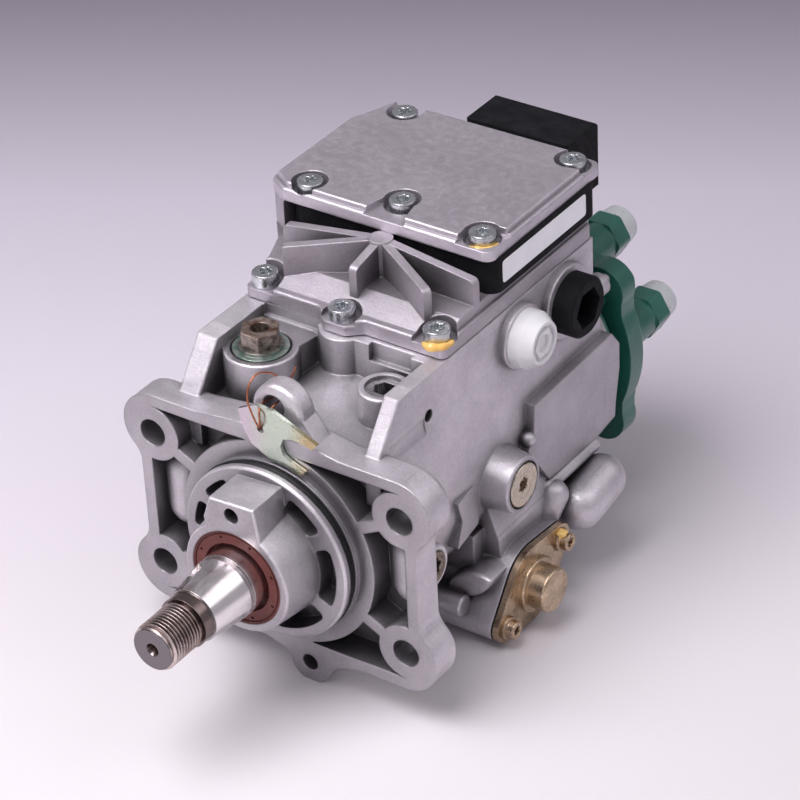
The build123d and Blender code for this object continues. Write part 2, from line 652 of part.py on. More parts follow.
def make_port_plate():
    plate = y_ring(VANE_RING_R, SHAFT_R + 1.0, VANE_Y1, VANE_Y1 + PORT_PLATE_T)
    for deg in (20, 200):
        plate -= along_y(sector(16.5, 21.5, deg, deg + 100, 1.5), VANE_Y1 - 1, VANE_Y1 + PORT_PLATE_T + 1)
    return plate


def vane_slots(depth_in, depth_out, width):
    slots = []
    for i in range(VANE_COUNT):
        vane = block(depth_in, depth_out, VANE_Y0 + RUN, VANE_Y1 - RUN, -width / 2, width / 2)
        slots.append(Rot(0, -(45 + i * 360 / VANE_COUNT), 0) * vane)
    return slots


def make_vane_rotor():
    rotor = y_ring(VANE_ROTOR_R, SHAFT_R + SEAT, VANE_Y0 + RUN, VANE_Y1 - RUN)
    for slot in vane_slots(SHAFT_R + 2.5, VANE_ROTOR_R + 2, VANE_T + 2 * RUN):
        rotor -= slot
    return rotor


def make_vanes():
    return Compound(children=vane_slots(SHAFT_R + 3.0, VANE_RING_IN - VANE_RING_SHIFT - 0.15, VANE_T))


def make_wheel():
    wheel = y_ring(WHEEL_R, NECK_R + SEAT, LOCK_COLLAR_Y1, LOCK_COLLAR_Y1 + WHEEL_T)
    for i in range(WHEEL_TEETH):
        notch = block(WHEEL_R - 3, WHEEL_R + 1, LOCK_COLLAR_Y1 - 1, LOCK_COLLAR_Y1 + WHEEL_T + 1, -1.1, 1.1)
        wheel -= Rot(0, -i * 360 / WHEEL_TEETH, 0) * notch
    return wheel


def make_sensor():
    sensor = block(-7 + SEAT, 7 - SEAT, SENSOR_Y0 + SEAT, SENSOR_Y1 - SEAT, 34, 42)
    return sensor + block(-5, 5, SENSOR_Y0 + 0.6, SENSOR_Y1 - 2, 26, 34)


def roller_angles():
    return [90 + i * 360 / ROLLER_COUNT for i in range(ROLLER_COUNT)]


def make_roller(deg):
    x, z = polar(ROLLER_AT, deg)
    return y_cyl(ROLLER_R, CAM_Y - ROLLER_L / 2, CAM_Y + ROLLER_L / 2, x, z)


def make_shoes():
    shoes = []
    for deg in roller_angles():
        shoe = block(ROTOR_HEAD_R + 0.8, ROLLER_AT + 1.6, CAM_Y - SHOE_L / 2, CAM_Y + SHOE_L / 2, -SHOE_W / 2, SHOE_W / 2)
        shoe -= y_cyl(ROLLER_R + RUN, CAM_Y - ROLLER_L / 2 - RUN, CAM_Y + ROLLER_L / 2 + RUN, ROLLER_AT, 0)
        shoe -= block(ROLLER_AT, ROLLER_AT + 3, CAM_Y - SHOE_L, CAM_Y + SHOE_L, -ROLLER_R, ROLLER_R)
        shoes.append(Rot(0, -deg, 0) * shoe)
    return Compound(children=shoes)


def make_plungers():
    rods = []
    for deg in roller_angles():
        rods.append(Rot(0, -deg, 0) * x_cyl(PLUNGER_R, PLUNGER_IN, ROTOR_HEAD_R + 0.8, CAM_Y, 0))
    return Compound(children=rods)


def make_rotor():
    rotor = y_cyl(ROTOR_HEAD_R, CAGE_Y0 + 4 + AIR, CAGE_Y1 - 1)
    rotor += y_cyl(ROTOR_R, CAGE_Y1 - 1, SLEEVE_Y1 - 1)
    for deg in roller_angles():
        rotor -= Rot(0, -deg, 0) * x_cyl(PLUNGER_R + 0.02, 1.0, ROTOR_HEAD_R + 1, CAM_Y, 0)
    rotor -= y_cyl(1.6, CAM_Y, 130)
    return rotor


def make_cam_ring():
    points = []
    steps = CAM_LOBES * 10
    for i in range(steps):
        deg = i * 360 / steps
        # Lobes stand at multiples of 60 degrees, halfway between the rollers at rest
        crest = max(0.0, cos(radians(CAM_LOBES * deg)))
        r = CAM_BASE_R - CAM_LIFT * crest ** 1.5
        points.append(polar(r, deg))
    inner = make_face(Spline(*points, periodic=True))
    ring = y_cyl(CAM_RING_R, CAM_Y - CAM_W / 2, CAM_Y + CAM_W / 2)
    ring -= along_y(inner, CAM_Y - CAM_W, CAM_Y + CAM_W)
    reach = abs(TIMING_Z) / cos(radians(PIN_REST_DEG))
    pin = z_cyl(PIN_R, -reach, -CAM_RING_R + 1.5, 0, CAM_Y)
    pin += Pos(0, CAM_Y, -reach) * Sphere(PIN_BALL_R)
    return ring + Rot(0, PIN_REST_DEG, 0) * pin


# Timing device

def pin_rest_x():
    reach = abs(TIMING_Z) / cos(radians(PIN_REST_DEG))
    return -reach * sin(radians(PIN_REST_DEG))


def make_timing_piston():
    x = pin_rest_x()
    piston = x_cyl(TIMING_BORE_R - RUN, x - PISTON_L / 2, x + PISTON_L / 2, CAM_Y, TIMING_Z)
    piston -= z_cyl(PIN_BALL_R + PISTON_GAP, TIMING_Z - 7, TIMING_Z + 12, x, CAM_Y)
    piston -= x_cyl(7.0, x + 9, x + PISTON_L, CAM_Y, TIMING_Z)
    return piston


def make_timing_spring():
    x0 = pin_rest_x() + 9 + 0.1
    x1 = TIMING_RIGHT - 0.1
    turns = 9
    pitch = (x1 - x0 - 2.2) / turns
    path = Helix(pitch, pitch * turns, 5.2)
    start = path @ 0
    wire = sweep(Plane(origin=start, z_dir=path % 0) * Circle(0.9), path)
    return Pos(x0 + 1.1, CAM_Y, TIMING_Z) * Rot(0, 90, 0) * wire


def make_timing_cover():
    x0 = TIMING_RIGHT + GASKET_T
    cover = along_x(timing_outline(), x0, x0 + TIMING_COVER_T)
    seat = x0 + TIMING_COVER_T
    cover += soft(x_cyl(TIMING_STEP_R, x0, seat + TIMING_STEP_L, CAM_Y, TIMING_Z), 0.8)
    cover += soft(x_cyl(TIMING_KNOB_R, x0, seat + TIMING_KNOB_L, CAM_Y, TIMING_Z), 1.2)
    for y, z in timing_bolt_spots():
        cover -= x_cyl(2.7, x0 - 1, x0 + 5, y, z)
    return cover


def make_timing_gaskets():
    right = along_x(timing_outline(), TIMING_RIGHT, TIMING_RIGHT + GASKET_T)
    left = along_x(timing_outline(), TIMING_LEFT - GASKET_T, TIMING_LEFT)
    for y, z in timing_bolt_spots():
        right -= x_cyl(2.7, TIMING_RIGHT - 1, TIMING_RIGHT + 2, y, z)
        left -= x_cyl(2.7, TIMING_LEFT - 2, TIMING_LEFT + 1, y, z)
    bore = x_cyl(TIMING_BORE_R, TIMING_LEFT - 2, TIMING_RIGHT + 2, CAM_Y, TIMING_Z)
    return Compound(children=[right - bore, left - bore])


def make_timing_end_cover():
    x0 = TIMING_LEFT - GASKET_T
    cover = along_x(timing_outline(), x0 - 4, x0)
    for y, z in timing_bolt_spots():
        cover -= x_cyl(2.7, x0 - 5, x0 + 1, y, z)
    return cover


def make_timing_screws():
    screws = []
    for y, z in timing_bolt_spots():
        x0 = TIMING_RIGHT + GASKET_T + TIMING_COVER_T
        screw = x_cyl(4.6, x0, x0 + 4.6, y, z) + x_cyl(2.5, x0 - 14, x0, y, z)
        screws.append(screw - x_cyl(2.2, x0 + 2.2, x0 + 5, y, z))
        x1 = TIMING_LEFT - GASKET_T - 4
        screw = x_cyl(4.6, x1 - 4.6, x1, y, z) + x_cyl(2.5, x1, x1 + 14, y, z)
        screws.append(screw - x_cyl(2.2, x1 - 5, x1 - 2.2, y, z))
    return Compound(children=screws)


def make_timing_valve():
    valve = y_cyl(7.0, 94, 108, VALVE_X, VALVE_Z)
    valve += y_cyl(9.5, 108, 128, VALVE_X, VALVE_Z)
    valve += block(VALVE_X - 7, VALVE_X + 6, 128, 137, VALVE_Z - 7, VALVE_Z + 4)
    return valve


# Distributor head

def outlet_angles():
    return [OUTLET_DEG + i * 360 / OUTLETS for i in range(OUTLETS)]


def head_screw_angles():
    return [SCREW_DEG, 180 - SCREW_DEG, 180 + SCREW_DEG, 360 - SCREW_DEG]


def make_head():
    head = y_cyl(HEAD_R, HEAD_Y0, HEAD_PLATE_Y)
    head += y_cyl(HEAD_NECK_R, REAR_Y, HEAD_PLATE_Y)
    head += y_cyl(HEAD_BAND_R, REAR_Y + SEAT, REAR_Y + HEAD_BAND_T)
    plate = Circle(HEAD_PLATE_R)
    ear_x, ear_z = polar(HEAD_EAR_AT, HEAD_EAR_DEG)
    for x in (-ear_x, ear_x):
        for z in (-ear_z, ear_z):
            plate += Pos(x, z) * Circle(HEAD_EAR_R)
    plate += Rectangle(2 * (ear_x + HEAD_EAR_R - 0.6), 2 * ear_z)
    plate = fillet(plate.vertices(), HEAD_EAR_R / 2)
    slab = along_y(plate, HEAD_PLATE_Y, HEAD_PLATE_Y + HEAD_PLATE_T)
    head += fillet(slab.edges().group_by(Axis.Y)[-1], 1.2)
    end = HEAD_PLATE_Y + HEAD_PLATE_T
    head -= y_cyl(SLEEVE_R + SEAT, HEAD_Y0 - 1, SLEEVE_Y1)
    head -= y_cyl(NEEDLE_R + RUN, SLEEVE_Y1 - 1, end + 1)
    for deg in outlet_angles():
        x, z = polar(OUTLET_AT, deg)
        head -= y_cyl(HOLDER_THREAD_R + SEAT, end - 17, end + 1, x, z)
    for deg in head_screw_angles():
        x, z = polar(HEAD_SCREW_AT, deg)
        head -= y_cyl(HEAD_SCREW_R + SEAT, REAR_Y - 1, end + 1, x, z)
    head -= y_ring(HEAD_R + 1, HEAD_R - 2.4, REAR_Y - 8, REAR_Y - 4.4)
    return head


def make_head_o_ring():
    return Pos(0, REAR_Y - 6.2, 0) * Rot(90, 0, 0) * Torus(HEAD_R - 1.2, 1.18)


def make_sleeve():
    return y_ring(SLEEVE_R, ROTOR_R + 0.02, HEAD_Y0, SLEEVE_Y1)


def make_head_screws():
    end = HEAD_PLATE_Y + HEAD_PLATE_T
    screws = []
    for deg in head_screw_angles():
        x, z = polar(HEAD_SCREW_AT, deg)
        screw = y_cyl(HEAD_SCREW_R, REAR_Y - 13, end, x, z) + y_cyl(6.5, end, end + 7, x, z)
        screws.append(screw - hexagon(6.0, end + 3, end + 8, x, z))
    return Compound(children=screws)


def make_holders():
    end = HEAD_PLATE_Y + HEAD_PLATE_T
    holders = []
    for deg in outlet_angles():
        x, z = polar(OUTLET_AT, deg)
        hex_y = end + HOLDER_BASE_L
        top = hex_y + HOLDER_HEX_L
        holder = y_cyl(HOLDER_THREAD_R, end - 17, end, x, z)
        holder += y_cyl(HOLDER_R, end, hex_y, x, z)
        holder += hexagon(HOLDER_AF, hex_y, top, x, z) & y_cyl(HOLDER_AF * 0.555, hex_y, top, x, z)
        holder += y_cyl(HOLDER_THREAD_R, top, top + CAP_L - 2, x, z)
        holder -= y_cyl(HOLDER_BORE_R, end - 18, hex_y + 2, x, z)
        holder -= y_cyl(1.6, hex_y, top + CAP_L, x, z)
        holders.append(holder)
    return Compound(children=holders)


def make_valve(deg):
    end = HEAD_PLATE_Y + HEAD_PLATE_T
    x, z = polar(OUTLET_AT, deg)
    valve = y_cyl(HOLDER_BORE_R - RUN, end - 17 + SEAT, end + 3, x, z)
    valve += y_cyl(1.8, end + 3, end + 7, x, z)
    return valve


def make_outlet_caps():
    top = HEAD_PLATE_Y + HEAD_PLATE_T + HOLDER_BASE_L + HOLDER_HEX_L
    caps = []
    for deg in outlet_angles():
        x, z = polar(OUTLET_AT, deg)
        cap = Pos(x, 0, z) * y_cone(CAP_R, CAP_R - 1.0, top, top + CAP_L)
        cap -= y_cyl(HOLDER_THREAD_R + SEAT, top - 1, top + CAP_L - 2, x, z)
        caps.append(cap)
    return Compound(children=caps)


# High-pressure solenoid

def make_solenoid_body():
    y0 = HEAD_PLATE_Y + HEAD_PLATE_T
    body = y_cyl(SOLENOID_R, y0, y0 + SOLENOID_L)
    body += hexagon(2 * SOLENOID_R - 4, y0 + SOLENOID_L, y0 + SOLENOID_L + 5, 0, 0)
    body -= y_cyl(14.0, y0 - 1, y0 + 24)
    return body


def make_coil():
    y0 = HEAD_PLATE_Y + HEAD_PLATE_T
    return y_ring(14.0 - SEAT, 4.0, y0 + 10, y0 + 24)


def make_needle():
    y0 = HEAD_PLATE_Y + HEAD_PLATE_T
    needle = y_cyl(NEEDLE_R, SLEEVE_Y1 + 0.5, y0 + 5)
    return needle + y_cyl(ARMATURE_R, y0 + 5, y0 + 9)


# Control unit

def base_plan(grow=0.0):
    y0 = BASE_FRONT - grow
    plan = [(BASE_X0 - grow, y0), (LOBE_X - 10.5, y0), (LOBE_X - 5, LOBE_Y - grow), (LOBE_X + 4, LOBE_Y - grow),
            (LOBE_X + 9.5, y0), (BASE_X1 + grow, y0), (BASE_X1 + grow, BASE_BACK), (BASE_X0 - grow, BASE_BACK)]
    return polygon(plan, 2.5)


def make_base_gasket():
    gasket = along_z(base_plan(-0.6), DECK_Z, BASE_Z)
    inner = block(BASE_X0 + 8, BASE_X1 - 8, BASE_FRONT + 14, BASE_BACK - 8, DECK_Z - 1, BASE_Z + 1)
    for x, y in BASE_SCREWS:
        inner += z_cyl(2.7, DECK_Z - 1, BASE_Z + 1, x, y)
    return gasket - inner


STAR_ENDS = [(-43.0, 72.0), (-35.2, 58.2), (-3.4, 57.8), (27.8, 59.0), (38.8, 73.5)]


def star_rib(x, y):
    run = hypot(x - STAR_X, y - STAR_Y)
    way = Vector((x - STAR_X) / run, (y - STAR_Y) / run, 0)
    plane = Plane(origin=(STAR_X, STAR_Y, 0), x_dir=way, z_dir=way.cross(Vector(0, 0, 1)))
    side = polygon([(0, BASE_DECK_Z - 4), (run, BASE_DECK_Z - 4), (run, STAR_END_Z), (0, STAR_Z)])
    side = fillet(side.vertices().group_by(Axis.X)[-1].sort_by(Axis.Y)[-1], 2.2)
    return extrude(plane * side, STAR_T / 2, both=True)


def make_base():
    base = along_z(base_plan(), BASE_Z, BASE_Z + BASE_EDGE_T)
    base = fillet(base.edges().group_by(Axis.Z)[-1], 1.0)
    slope = [(BASE_FRONT + 3, BASE_Z + 2), (BASE_FRONT + 3, BASE_Z + BASE_EDGE_T), (BASE_FRONT + 13, BASE_DECK_Z),
             (BASE_BACK, BASE_DECK_Z), (BASE_BACK, BASE_Z + 2)]
    base += along_x(polygon(slope), BASE_X0 + 1.5, BASE_X1 - 1.5)
    wall = [(BASE_X0 + 2, 62), (BASE_X0 - 3.5, 76), (COVER_X0 + 0.8, 84.5), (COVER_X0 + 0.8, 133), (-49.5, BASE_BACK),
            (BASE_X0 + 2, BASE_BACK)]
    base += along_z(polygon(wall), BASE_Z + 3.5, BASE_DECK_Z)
    rim = [(-48.2, 78.5), (COVER_X0 + 0.8, 84.8), (COVER_X0 + 0.8, 133), (-49.8, BASE_BACK), (-48.2, BASE_BACK)]
    base += along_z(polygon(rim), BASE_DECK_Z - 1, COVER_Z)
    for x, y in STAR_ENDS:
        base += star_rib(x, y)
    base += z_cyl(4.5, BASE_DECK_Z - 4, STAR_Z, STAR_X, STAR_Y)
    for x, y in BASE_SCREWS:
        base -= z_cyl(UNIT_SCREW_R + 2.2, PAD_CUT_Z, STAR_Z + 1, x, y)
        base -= block(x - UNIT_SCREW_R - 2.2, x + UNIT_SCREW_R + 2.2, y - 14, y, PAD_CUT_Z, STAR_Z + 1)
        base -= z_cyl(2.7, BASE_Z - 1, PAD_CUT_Z + 1, x, y)
    for x, y in COVER_SCREWS:
        base -= z_cyl(2.6, BASE_DECK_Z - 5, STAR_Z + 2, x, y)
    return base


def torx_screw(x, y, seat_z, head_r, head_h, shank_r, shank_l):
    screw = z_cyl(head_r, seat_z, seat_z + head_h, x, y) + z_cyl(shank_r, seat_z - shank_l, seat_z, x, y)
    socket = RegularPolygon(head_r * 0.46, 6) + Rot(0, 0, 30) * RegularPolygon(head_r * 0.46, 6)
    return screw - along_z(Pos(x, y) * socket, seat_z + head_h - 2.4, seat_z + head_h + 1)


def make_base_screws():
    return Compound(children=[torx_screw(x, y, PAD_CUT_Z, UNIT_SCREW_R, UNIT_SCREW_H, 2.5, 14) for x, y in BASE_SCREWS])


def ring_plan(inset):
    x0, x1 = RING_X0 + inset, RING_X1 - inset
    y0, y1 = RING_FRONT + inset, RING_BACK - inset
    return Pos((x0 + x1) / 2, (y0 + y1) / 2) * RectangleRounded(x1 - x0, y1 - y0, max(1.0, 5.0 - inset))


def make_ring():
    ring = along_z(ring_plan(0), BASE_DECK_Z, COVER_Z) - along_z(ring_plan(RING_WALL), BASE_DECK_Z - 1, COVER_Z + 1)
    for x, y in COVER_SCREWS:
        ring += z_cyl(5.0, BASE_DECK_Z, COVER_Z, x, y) & along_z(ring_plan(0), BASE_DECK_Z, COVER_Z)
        ring -= z_cyl(2.7, BASE_DECK_Z - 1, COVER_Z + 1, x, y)
    x, y = COVER_SCREWS[1]
    ring += block(x - 3, x + 3, RING_FRONT + 1, y - 3.5, BASE_DECK_Z, COVER_Z)
    ring += block(PLUG_X0 + 3, PLUG_X1 - 3, RING_BACK - 1, RING_BACK + 4.4, BASE_DECK_Z, COVER_Z)
    return ring


def make_board():
    board = along_z(ring_plan(RING_WALL + 0.5), BASE_DECK_Z + 3, BASE_DECK_Z + 4.6)
    for x, y in COVER_SCREWS:
        board -= z_cyl(5.4, BASE_DECK_Z, COVER_Z, x, y)
    x, y = COVER_SCREWS[1]
    board -= block(x - 3.5, x + 3.5, RING_FRONT, y, BASE_DECK_Z, COVER_Z)
    chips = block(-30, -12, 100, 118, BASE_DECK_Z + 4.6, BASE_DECK_Z + 7) + block(2, 22, 104, 118, BASE_DECK_Z + 4.6, BASE_DECK_Z + 8)
    chips += block(-26, 18, 126, 138, BASE_DECK_Z + 4.6, BASE_DECK_Z + 9)
    feet = block(-20, 14, 110, 130, BASE_DECK_Z, BASE_DECK_Z + 3)
    return board + chips + feet


def cover_plan(inset=0.0):
    i = inset
    plan = [(COVER_X0 + i, 84.5 + i * 0.6), (-49.0 + i * 0.5, COVER_FRONT + i), (COVER_X1 - i, COVER_FRONT + i),
            (COVER_X1 - i, COVER_BACK - i), (-49.5 + i, COVER_BACK - 1 - i), (COVER_X0 + i, 133.4 - i)]
    return polygon(plan, 2.0 if inset > 0 else 4.0)


def make_cover():
    cover = along_z(cover_plan(), COVER_Z, COVER_Z + COVER_EDGE_T)
    cover = fillet(cover.edges().group_by(Axis.Z)[-1], 1.2)
    top = along_z(cover_plan(1.8), COVER_Z + 1, COVER_TOP_Z)
    cover += fillet(top.edges().group_by(Axis.Z)[-1], 0.8)
    seat = COVER_Z + 1.9
    for x, y in COVER_SCREWS:
        cover -= z_cyl(UNIT_SCREW_R + 1.9, seat, COVER_TOP_Z + 1, x, y)
        cover -= z_cyl(2.7, COVER_Z - 1, seat + 1, x, y)
    x, y = COVER_SCREWS[1]
    notch = [(x - 9, COVER_FRONT - 1), (x - 5.5, y + 3), (x + 5.5, y + 3), (x + 9, COVER_FRONT - 1)]
    cover -= along_z(polygon(notch), COVER_Z + COVER_EDGE_T - 0.6, COVER_TOP_Z + 1)
    x, y = COVER_SCREWS[2]
    corner = [(x - 6.5, y), (x - 6.5, COVER_FRONT - 1), (COVER_X1 + 1, COVER_FRONT - 1), (COVER_X1 + 1, y + 6), (x, y + 6)]
    cover -= along_z(polygon(corner), COVER_Z + COVER_EDGE_T - 0.9, COVER_TOP_Z + 1)
    x, y = COVER_SCREWS[3]
    corner = [(x, y - 6.9), (x - 6.9, y), (x - 4, COVER_BACK + 1), (COVER_X1 + 1, COVER_BACK + 1), (COVER_X1 + 1, y - 5)]
    cover -= along_z(polygon(corner), COVER_Z + COVER_EDGE_T - 0.9, COVER_TOP_Z + 1)
    x, y = COVER_SCREWS[4]
    cover -= block(x - 6.9, x + 6.9, y, COVER_BACK + 1, seat, COVER_TOP_Z + 1)
    return cover


def make_cover_screws():
    seat = COVER_Z + 1.9
    return Compound(children=[torx_screw(x, y, seat, UNIT_SCREW_R, UNIT_SCREW_H, 2.5, 18) for x, y in COVER_SCREWS])


def make_connector():
    y0 = RING_BACK + 4.4
    body = block(PLUG_X0, PLUG_X1, y0, PLUG_Y1, PLUG_Z0, COVER_TOP_Z - 0.2)
    body = chamfer(body.edges().filter_by(Axis.X).group_by(Axis.Z)[-1].sort_by(Axis.Y)[-1], 1.5)
    body -= block(PLUG_X0 + 4, PLUG_X1 - 4, y0 + 6, PLUG_Y1 + 1, PLUG_Z0 + 4, COVER_TOP_Z - 6)
    return body


def make_pins():
    pins = []
    for row, z in enumerate((PLUG_Z0 + 9, PLUG_Z0 + 15)):
        for i in range(5 - row):
            x = PLUG_X0 + 9 + 6.5 * i + 3 * row
            pins.append(block(x - 0.8, x + 0.8, RING_BACK + 10.4, RING_BACK + 18, z - 0.4, z + 0.4))
    return Compound(children=pins)


# Plugs, lock bolt and its plate

def make_lock_bolt():
    top = PAD_Z + 0.2
    bolt = z_cyl(10.4, PAD_Z - 1.4, top, PAD_X, PAD_Y)
    bolt += along_z(Pos(PAD_X, PAD_Y) * RegularPolygon(6.5, 6, major_radius=False), top, top + 7.5)
    bolt += z_cyl(8.2, top, top + 1.2, PAD_X, PAD_Y)
    bolt -= z_cyl(3.4, top + 2.5, top + 8, PAD_X, PAD_Y)
    tip_x = abs(PAD_X) - 3.0
    tip_z = sqrt(LOCK_COLLAR_R ** 2 - tip_x ** 2) + AIR
    bolt += z_cyl(4.1 - RUN, tip_z + 6, PAD_Z - 1, PAD_X, PAD_Y)
    bolt += z_cyl(3.0, tip_z, PAD_Z - 1, PAD_X, PAD_Y)
    return bolt


def make_lock_bolt_seal():
    return Pos(PAD_X, PAD_Y, PAD_Z - 0.8) * Torus(10.8, 0.36)


def make_socket_plug():
    plug = z_cyl(7.0 - SEAT, SOCKET_BOSS_Z - 9, SOCKET_BOSS_Z - 1.0, SOCKET_BOSS_X, SOCKET_BOSS_Y)
    socket = Pos(SOCKET_BOSS_X, SOCKET_BOSS_Y) * RegularPolygon(3.6, 6, major_radius=False)
    return plug - along_z(socket, SOCKET_BOSS_Z - 6, SOCKET_BOSS_Z)


def x_torx(radius, deep, x_top, y, z):
    star = RegularPolygon(radius * 0.46, 6) + Rot(0, 0, 30) * RegularPolygon(radius * 0.46, 6)
    return along_x(Pos(y, z) * star, x_top - deep, x_top + 1)


def make_side_torx_plug():
    plug = x_cyl(TORX_R, TORX_X - 3.0, TORX_X + 0.3, TORX_Y, TORX_Z)
    plug += x_cyl(6.5 - SEAT, TORX_X - 13, TORX_X - 3.0, TORX_Y, TORX_Z)
    return plug - x_torx(TORX_R, 3.0, TORX_X + 0.3, TORX_Y, TORX_Z)


def make_side_torx_seal():
    ring = x_cyl(9.35, TORX_X - 4.0, TORX_X - 3.0, TORX_Y, TORX_Z)
    ring += x_cyl(9.35, TORX_X - 3.0, TORX_X - 0.4, TORX_Y, TORX_Z) - x_cyl(TORX_R + SEAT, TORX_X - 3, TORX_X, TORX_Y, TORX_Z)
    return ring - x_cyl(6.5, TORX_X - 5, TORX_X, TORX_Y, TORX_Z)


def make_flange_torx_plug():
    top = SMALL_TORX_X + 0.6
    plug = x_cyl(SMALL_TORX_R - SEAT, SMALL_TORX_X - 8, top, SMALL_TORX_Y, SMALL_TORX_Z)
    return plug - x_torx(SMALL_TORX_R, 3.0, top, SMALL_TORX_Y, SMALL_TORX_Z)


def make_return_cap():
    cap = x_cyl(RETURN_CAP_R, PORT_WALL_X, PORT_WALL_X + 4.5, RETURN_Y, RETURN_Z)
    cap += Pos(PORT_WALL_X + 6.8, RETURN_Y, RETURN_Z) * Rot(0, 90, 0) * Cone(RETURN_CAP_R, RETURN_CAP_R - 2.8, 4.6)
    cap += x_cyl(8.0 - SEAT, PORT_WALL_X - 9, PORT_WALL_X, RETURN_Y, RETURN_Z)
    cap -= x_cyl(RETURN_CAP_R - 4.0, PORT_WALL_X + 7.6, PORT_WALL_X + 10, RETURN_Y, RETURN_Z)
    grip = Pos(RETURN_Y, RETURN_Z) * (RegularPolygon(5.0, 6, major_radius=False) - Circle(3.4))
    return cap + along_x(grip, PORT_WALL_X + 7, PORT_WALL_X + 8.8)


def make_feed_plug():
    plug = x_cyl(FEED_PLUG_R, PORT_WALL_X, PORT_WALL_X + 8.4, FEED_Y, FEED_Z)
    plug = chamfer(plug.edges().sort_by(Axis.X)[-1], 1.2)
    plug += x_cyl(9.0 - SEAT, PORT_WALL_X - 10, PORT_WALL_X, FEED_Y, FEED_Z)
    recess = Pos(FEED_Y, FEED_Z) * RegularPolygon(FEED_KEY / 2, 6, major_radius=False)
    plug -= along_x(recess, PORT_WALL_X - 1, PORT_WALL_X + 10)
    cross = block(PORT_WALL_X - 5, PORT_WALL_X, FEED_Y - 6, FEED_Y + 6, FEED_Z - 1.5, FEED_Z + 1.5)
    cross += block(PORT_WALL_X - 5, PORT_WALL_X, FEED_Y - 1.5, FEED_Y + 1.5, FEED_Z - 6, FEED_Z + 6)
    return plug - cross


def make_pressure_valve():
    valve = x_cyl(PRESSURE_R - SEAT, PRESSURE_X, PRESSURE_X + 13, PRESSURE_Y, PRESSURE_Z)
    recess = Pos(PRESSURE_Y, PRESSURE_Z) * RegularPolygon(4.0, 6, major_radius=False)
    return valve - along_x(recess, PRESSURE_X - 1, PRESSURE_X + 5)


def make_lock_plate():
    outline = [(-12.0, 54.0), (-4.0, 58.2), (3.2, 57.8), (21.6, 49.8), (19.4, 47.4), (10.9, 48.8), (7.0, 47.6),
               (5.6, 44.0), (6.6, 40.6), (9.8, 38.8), (15.6, 36.6), (13.6, 34.4), (7.8, 36.2), (0.8, 37.0),
               (-7.0, 41.2), (-10.2, 46.8)]
    plate = along_y(polygon(outline), -1.9, -0.3)
    return plate - y_cyl(1.4, -3, 1, -2.6, 48.5)


def make_tie_wire():
    r = 0.45
    path = [(-2.6, -1.2, 48.5), (-2.6, -3.4, 48.5), (-7.5, -3.4, 55.0), (-7.0, -1.0, 65.0), (-3.0, 6.0, 69.0),
            (0.5, 12.8, 66.8), (1.0, 12.8, 57.0), (0.6, 6.0, 56.0), (-0.6, 0.9, 53.0), (-2.6, 0.9, 48.5), (-2.6, -0.9, 48.5)]
    line = FilletPolyline(*path, radius=0.7)
    return sweep(Plane(origin=line @ 0, z_dir=line % 0) * Circle(r), line)


def main():
    os.makedirs("parts", exist_ok=True)
    parts = {
        "pump_housing": make_housing(),
        "pilot_o_ring": make_pilot_o_ring(),
        "shaft_seal": make_shaft_seal(),
        "front_bearing": make_bearing(),
        "drive_shaft": make_drive_shaft(),
        "vane_ring": make_vane_ring(),
        "port_plate": make_port_plate(),
        "vane_rotor": make_vane_rotor(),
        "feed_vanes": make_vanes(),
        "angle_wheel": make_wheel(),
        "angle_sensor": make_sensor(),
        "cam_ring": make_cam_ring(),
        "roller_shoes": make_shoes(),
        "plungers": make_plungers(),
        "distributor_shaft": make_rotor(),
        "timing_piston": make_timing_piston(),
        "timing_spring": make_timing_spring(),
        "timing_cover": make_timing_cover(),
        "timing_gaskets": make_timing_gaskets(),
        "timing_end_cover": make_timing_end_cover(),
        "timing_screws": make_timing_screws(),
        "timing_valve": make_timing_valve(),
        "distributor_head": make_head(),
        "head_o_ring": make_head_o_ring(),
        "distributor_sleeve": make_sleeve(),
        "head_screws": make_head_screws(),
        "delivery_valve_holders": make_holders(),
        "outlet_caps": make_outlet_caps(),
        "solenoid_body": make_solenoid_body(),
        "solenoid_coil": make_coil(),
        "solenoid_needle": make_needle(),
        "ecu_base_gasket": make_base_gasket(),
        "ecu_base": make_base(),
        "ecu_base_screws": make_base_screws(),
        "ecu_ring": make_ring(),
        "circuit_board": make_board(),
        "ecu_cover": make_cover(),
        "ecu_cover_screws": make_cover_screws(),
        "ecu_connector": make_connector(),
        "connector_pins": make_pins(),
        "lock_bolt": make_lock_bolt(),
        "lock_bolt_seal": make_lock_bolt_seal(),
        "socket_plug": make_socket_plug(),
        "side_torx_plug": make_side_torx_plug(),
        "side_torx_seal": make_side_torx_seal(),
        "flange_torx_plug": make_flange_torx_plug(),
        "return_port_cap": make_return_cap(),
        "feed_port_plug": make_feed_plug(),
        "pressure_valve": make_pressure_valve(),
        "lock_plate": make_lock_plate(),
        "tie_wire": make_tie_wire(),
    }
    for i, deg in enumerate(roller_angles(), start=1):
        parts["roller_" + str(i)] = make_roller(deg)
    for i, deg in enumerate(outlet_angles(), start=1):
        parts["delivery_valve_" + str(i)] = make_valve(deg)
    for name, shape in parts.items():
        save(name, shape)


main()
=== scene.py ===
import json
import math

import bmesh
import bpy
from mathutils import Matrix, Vector


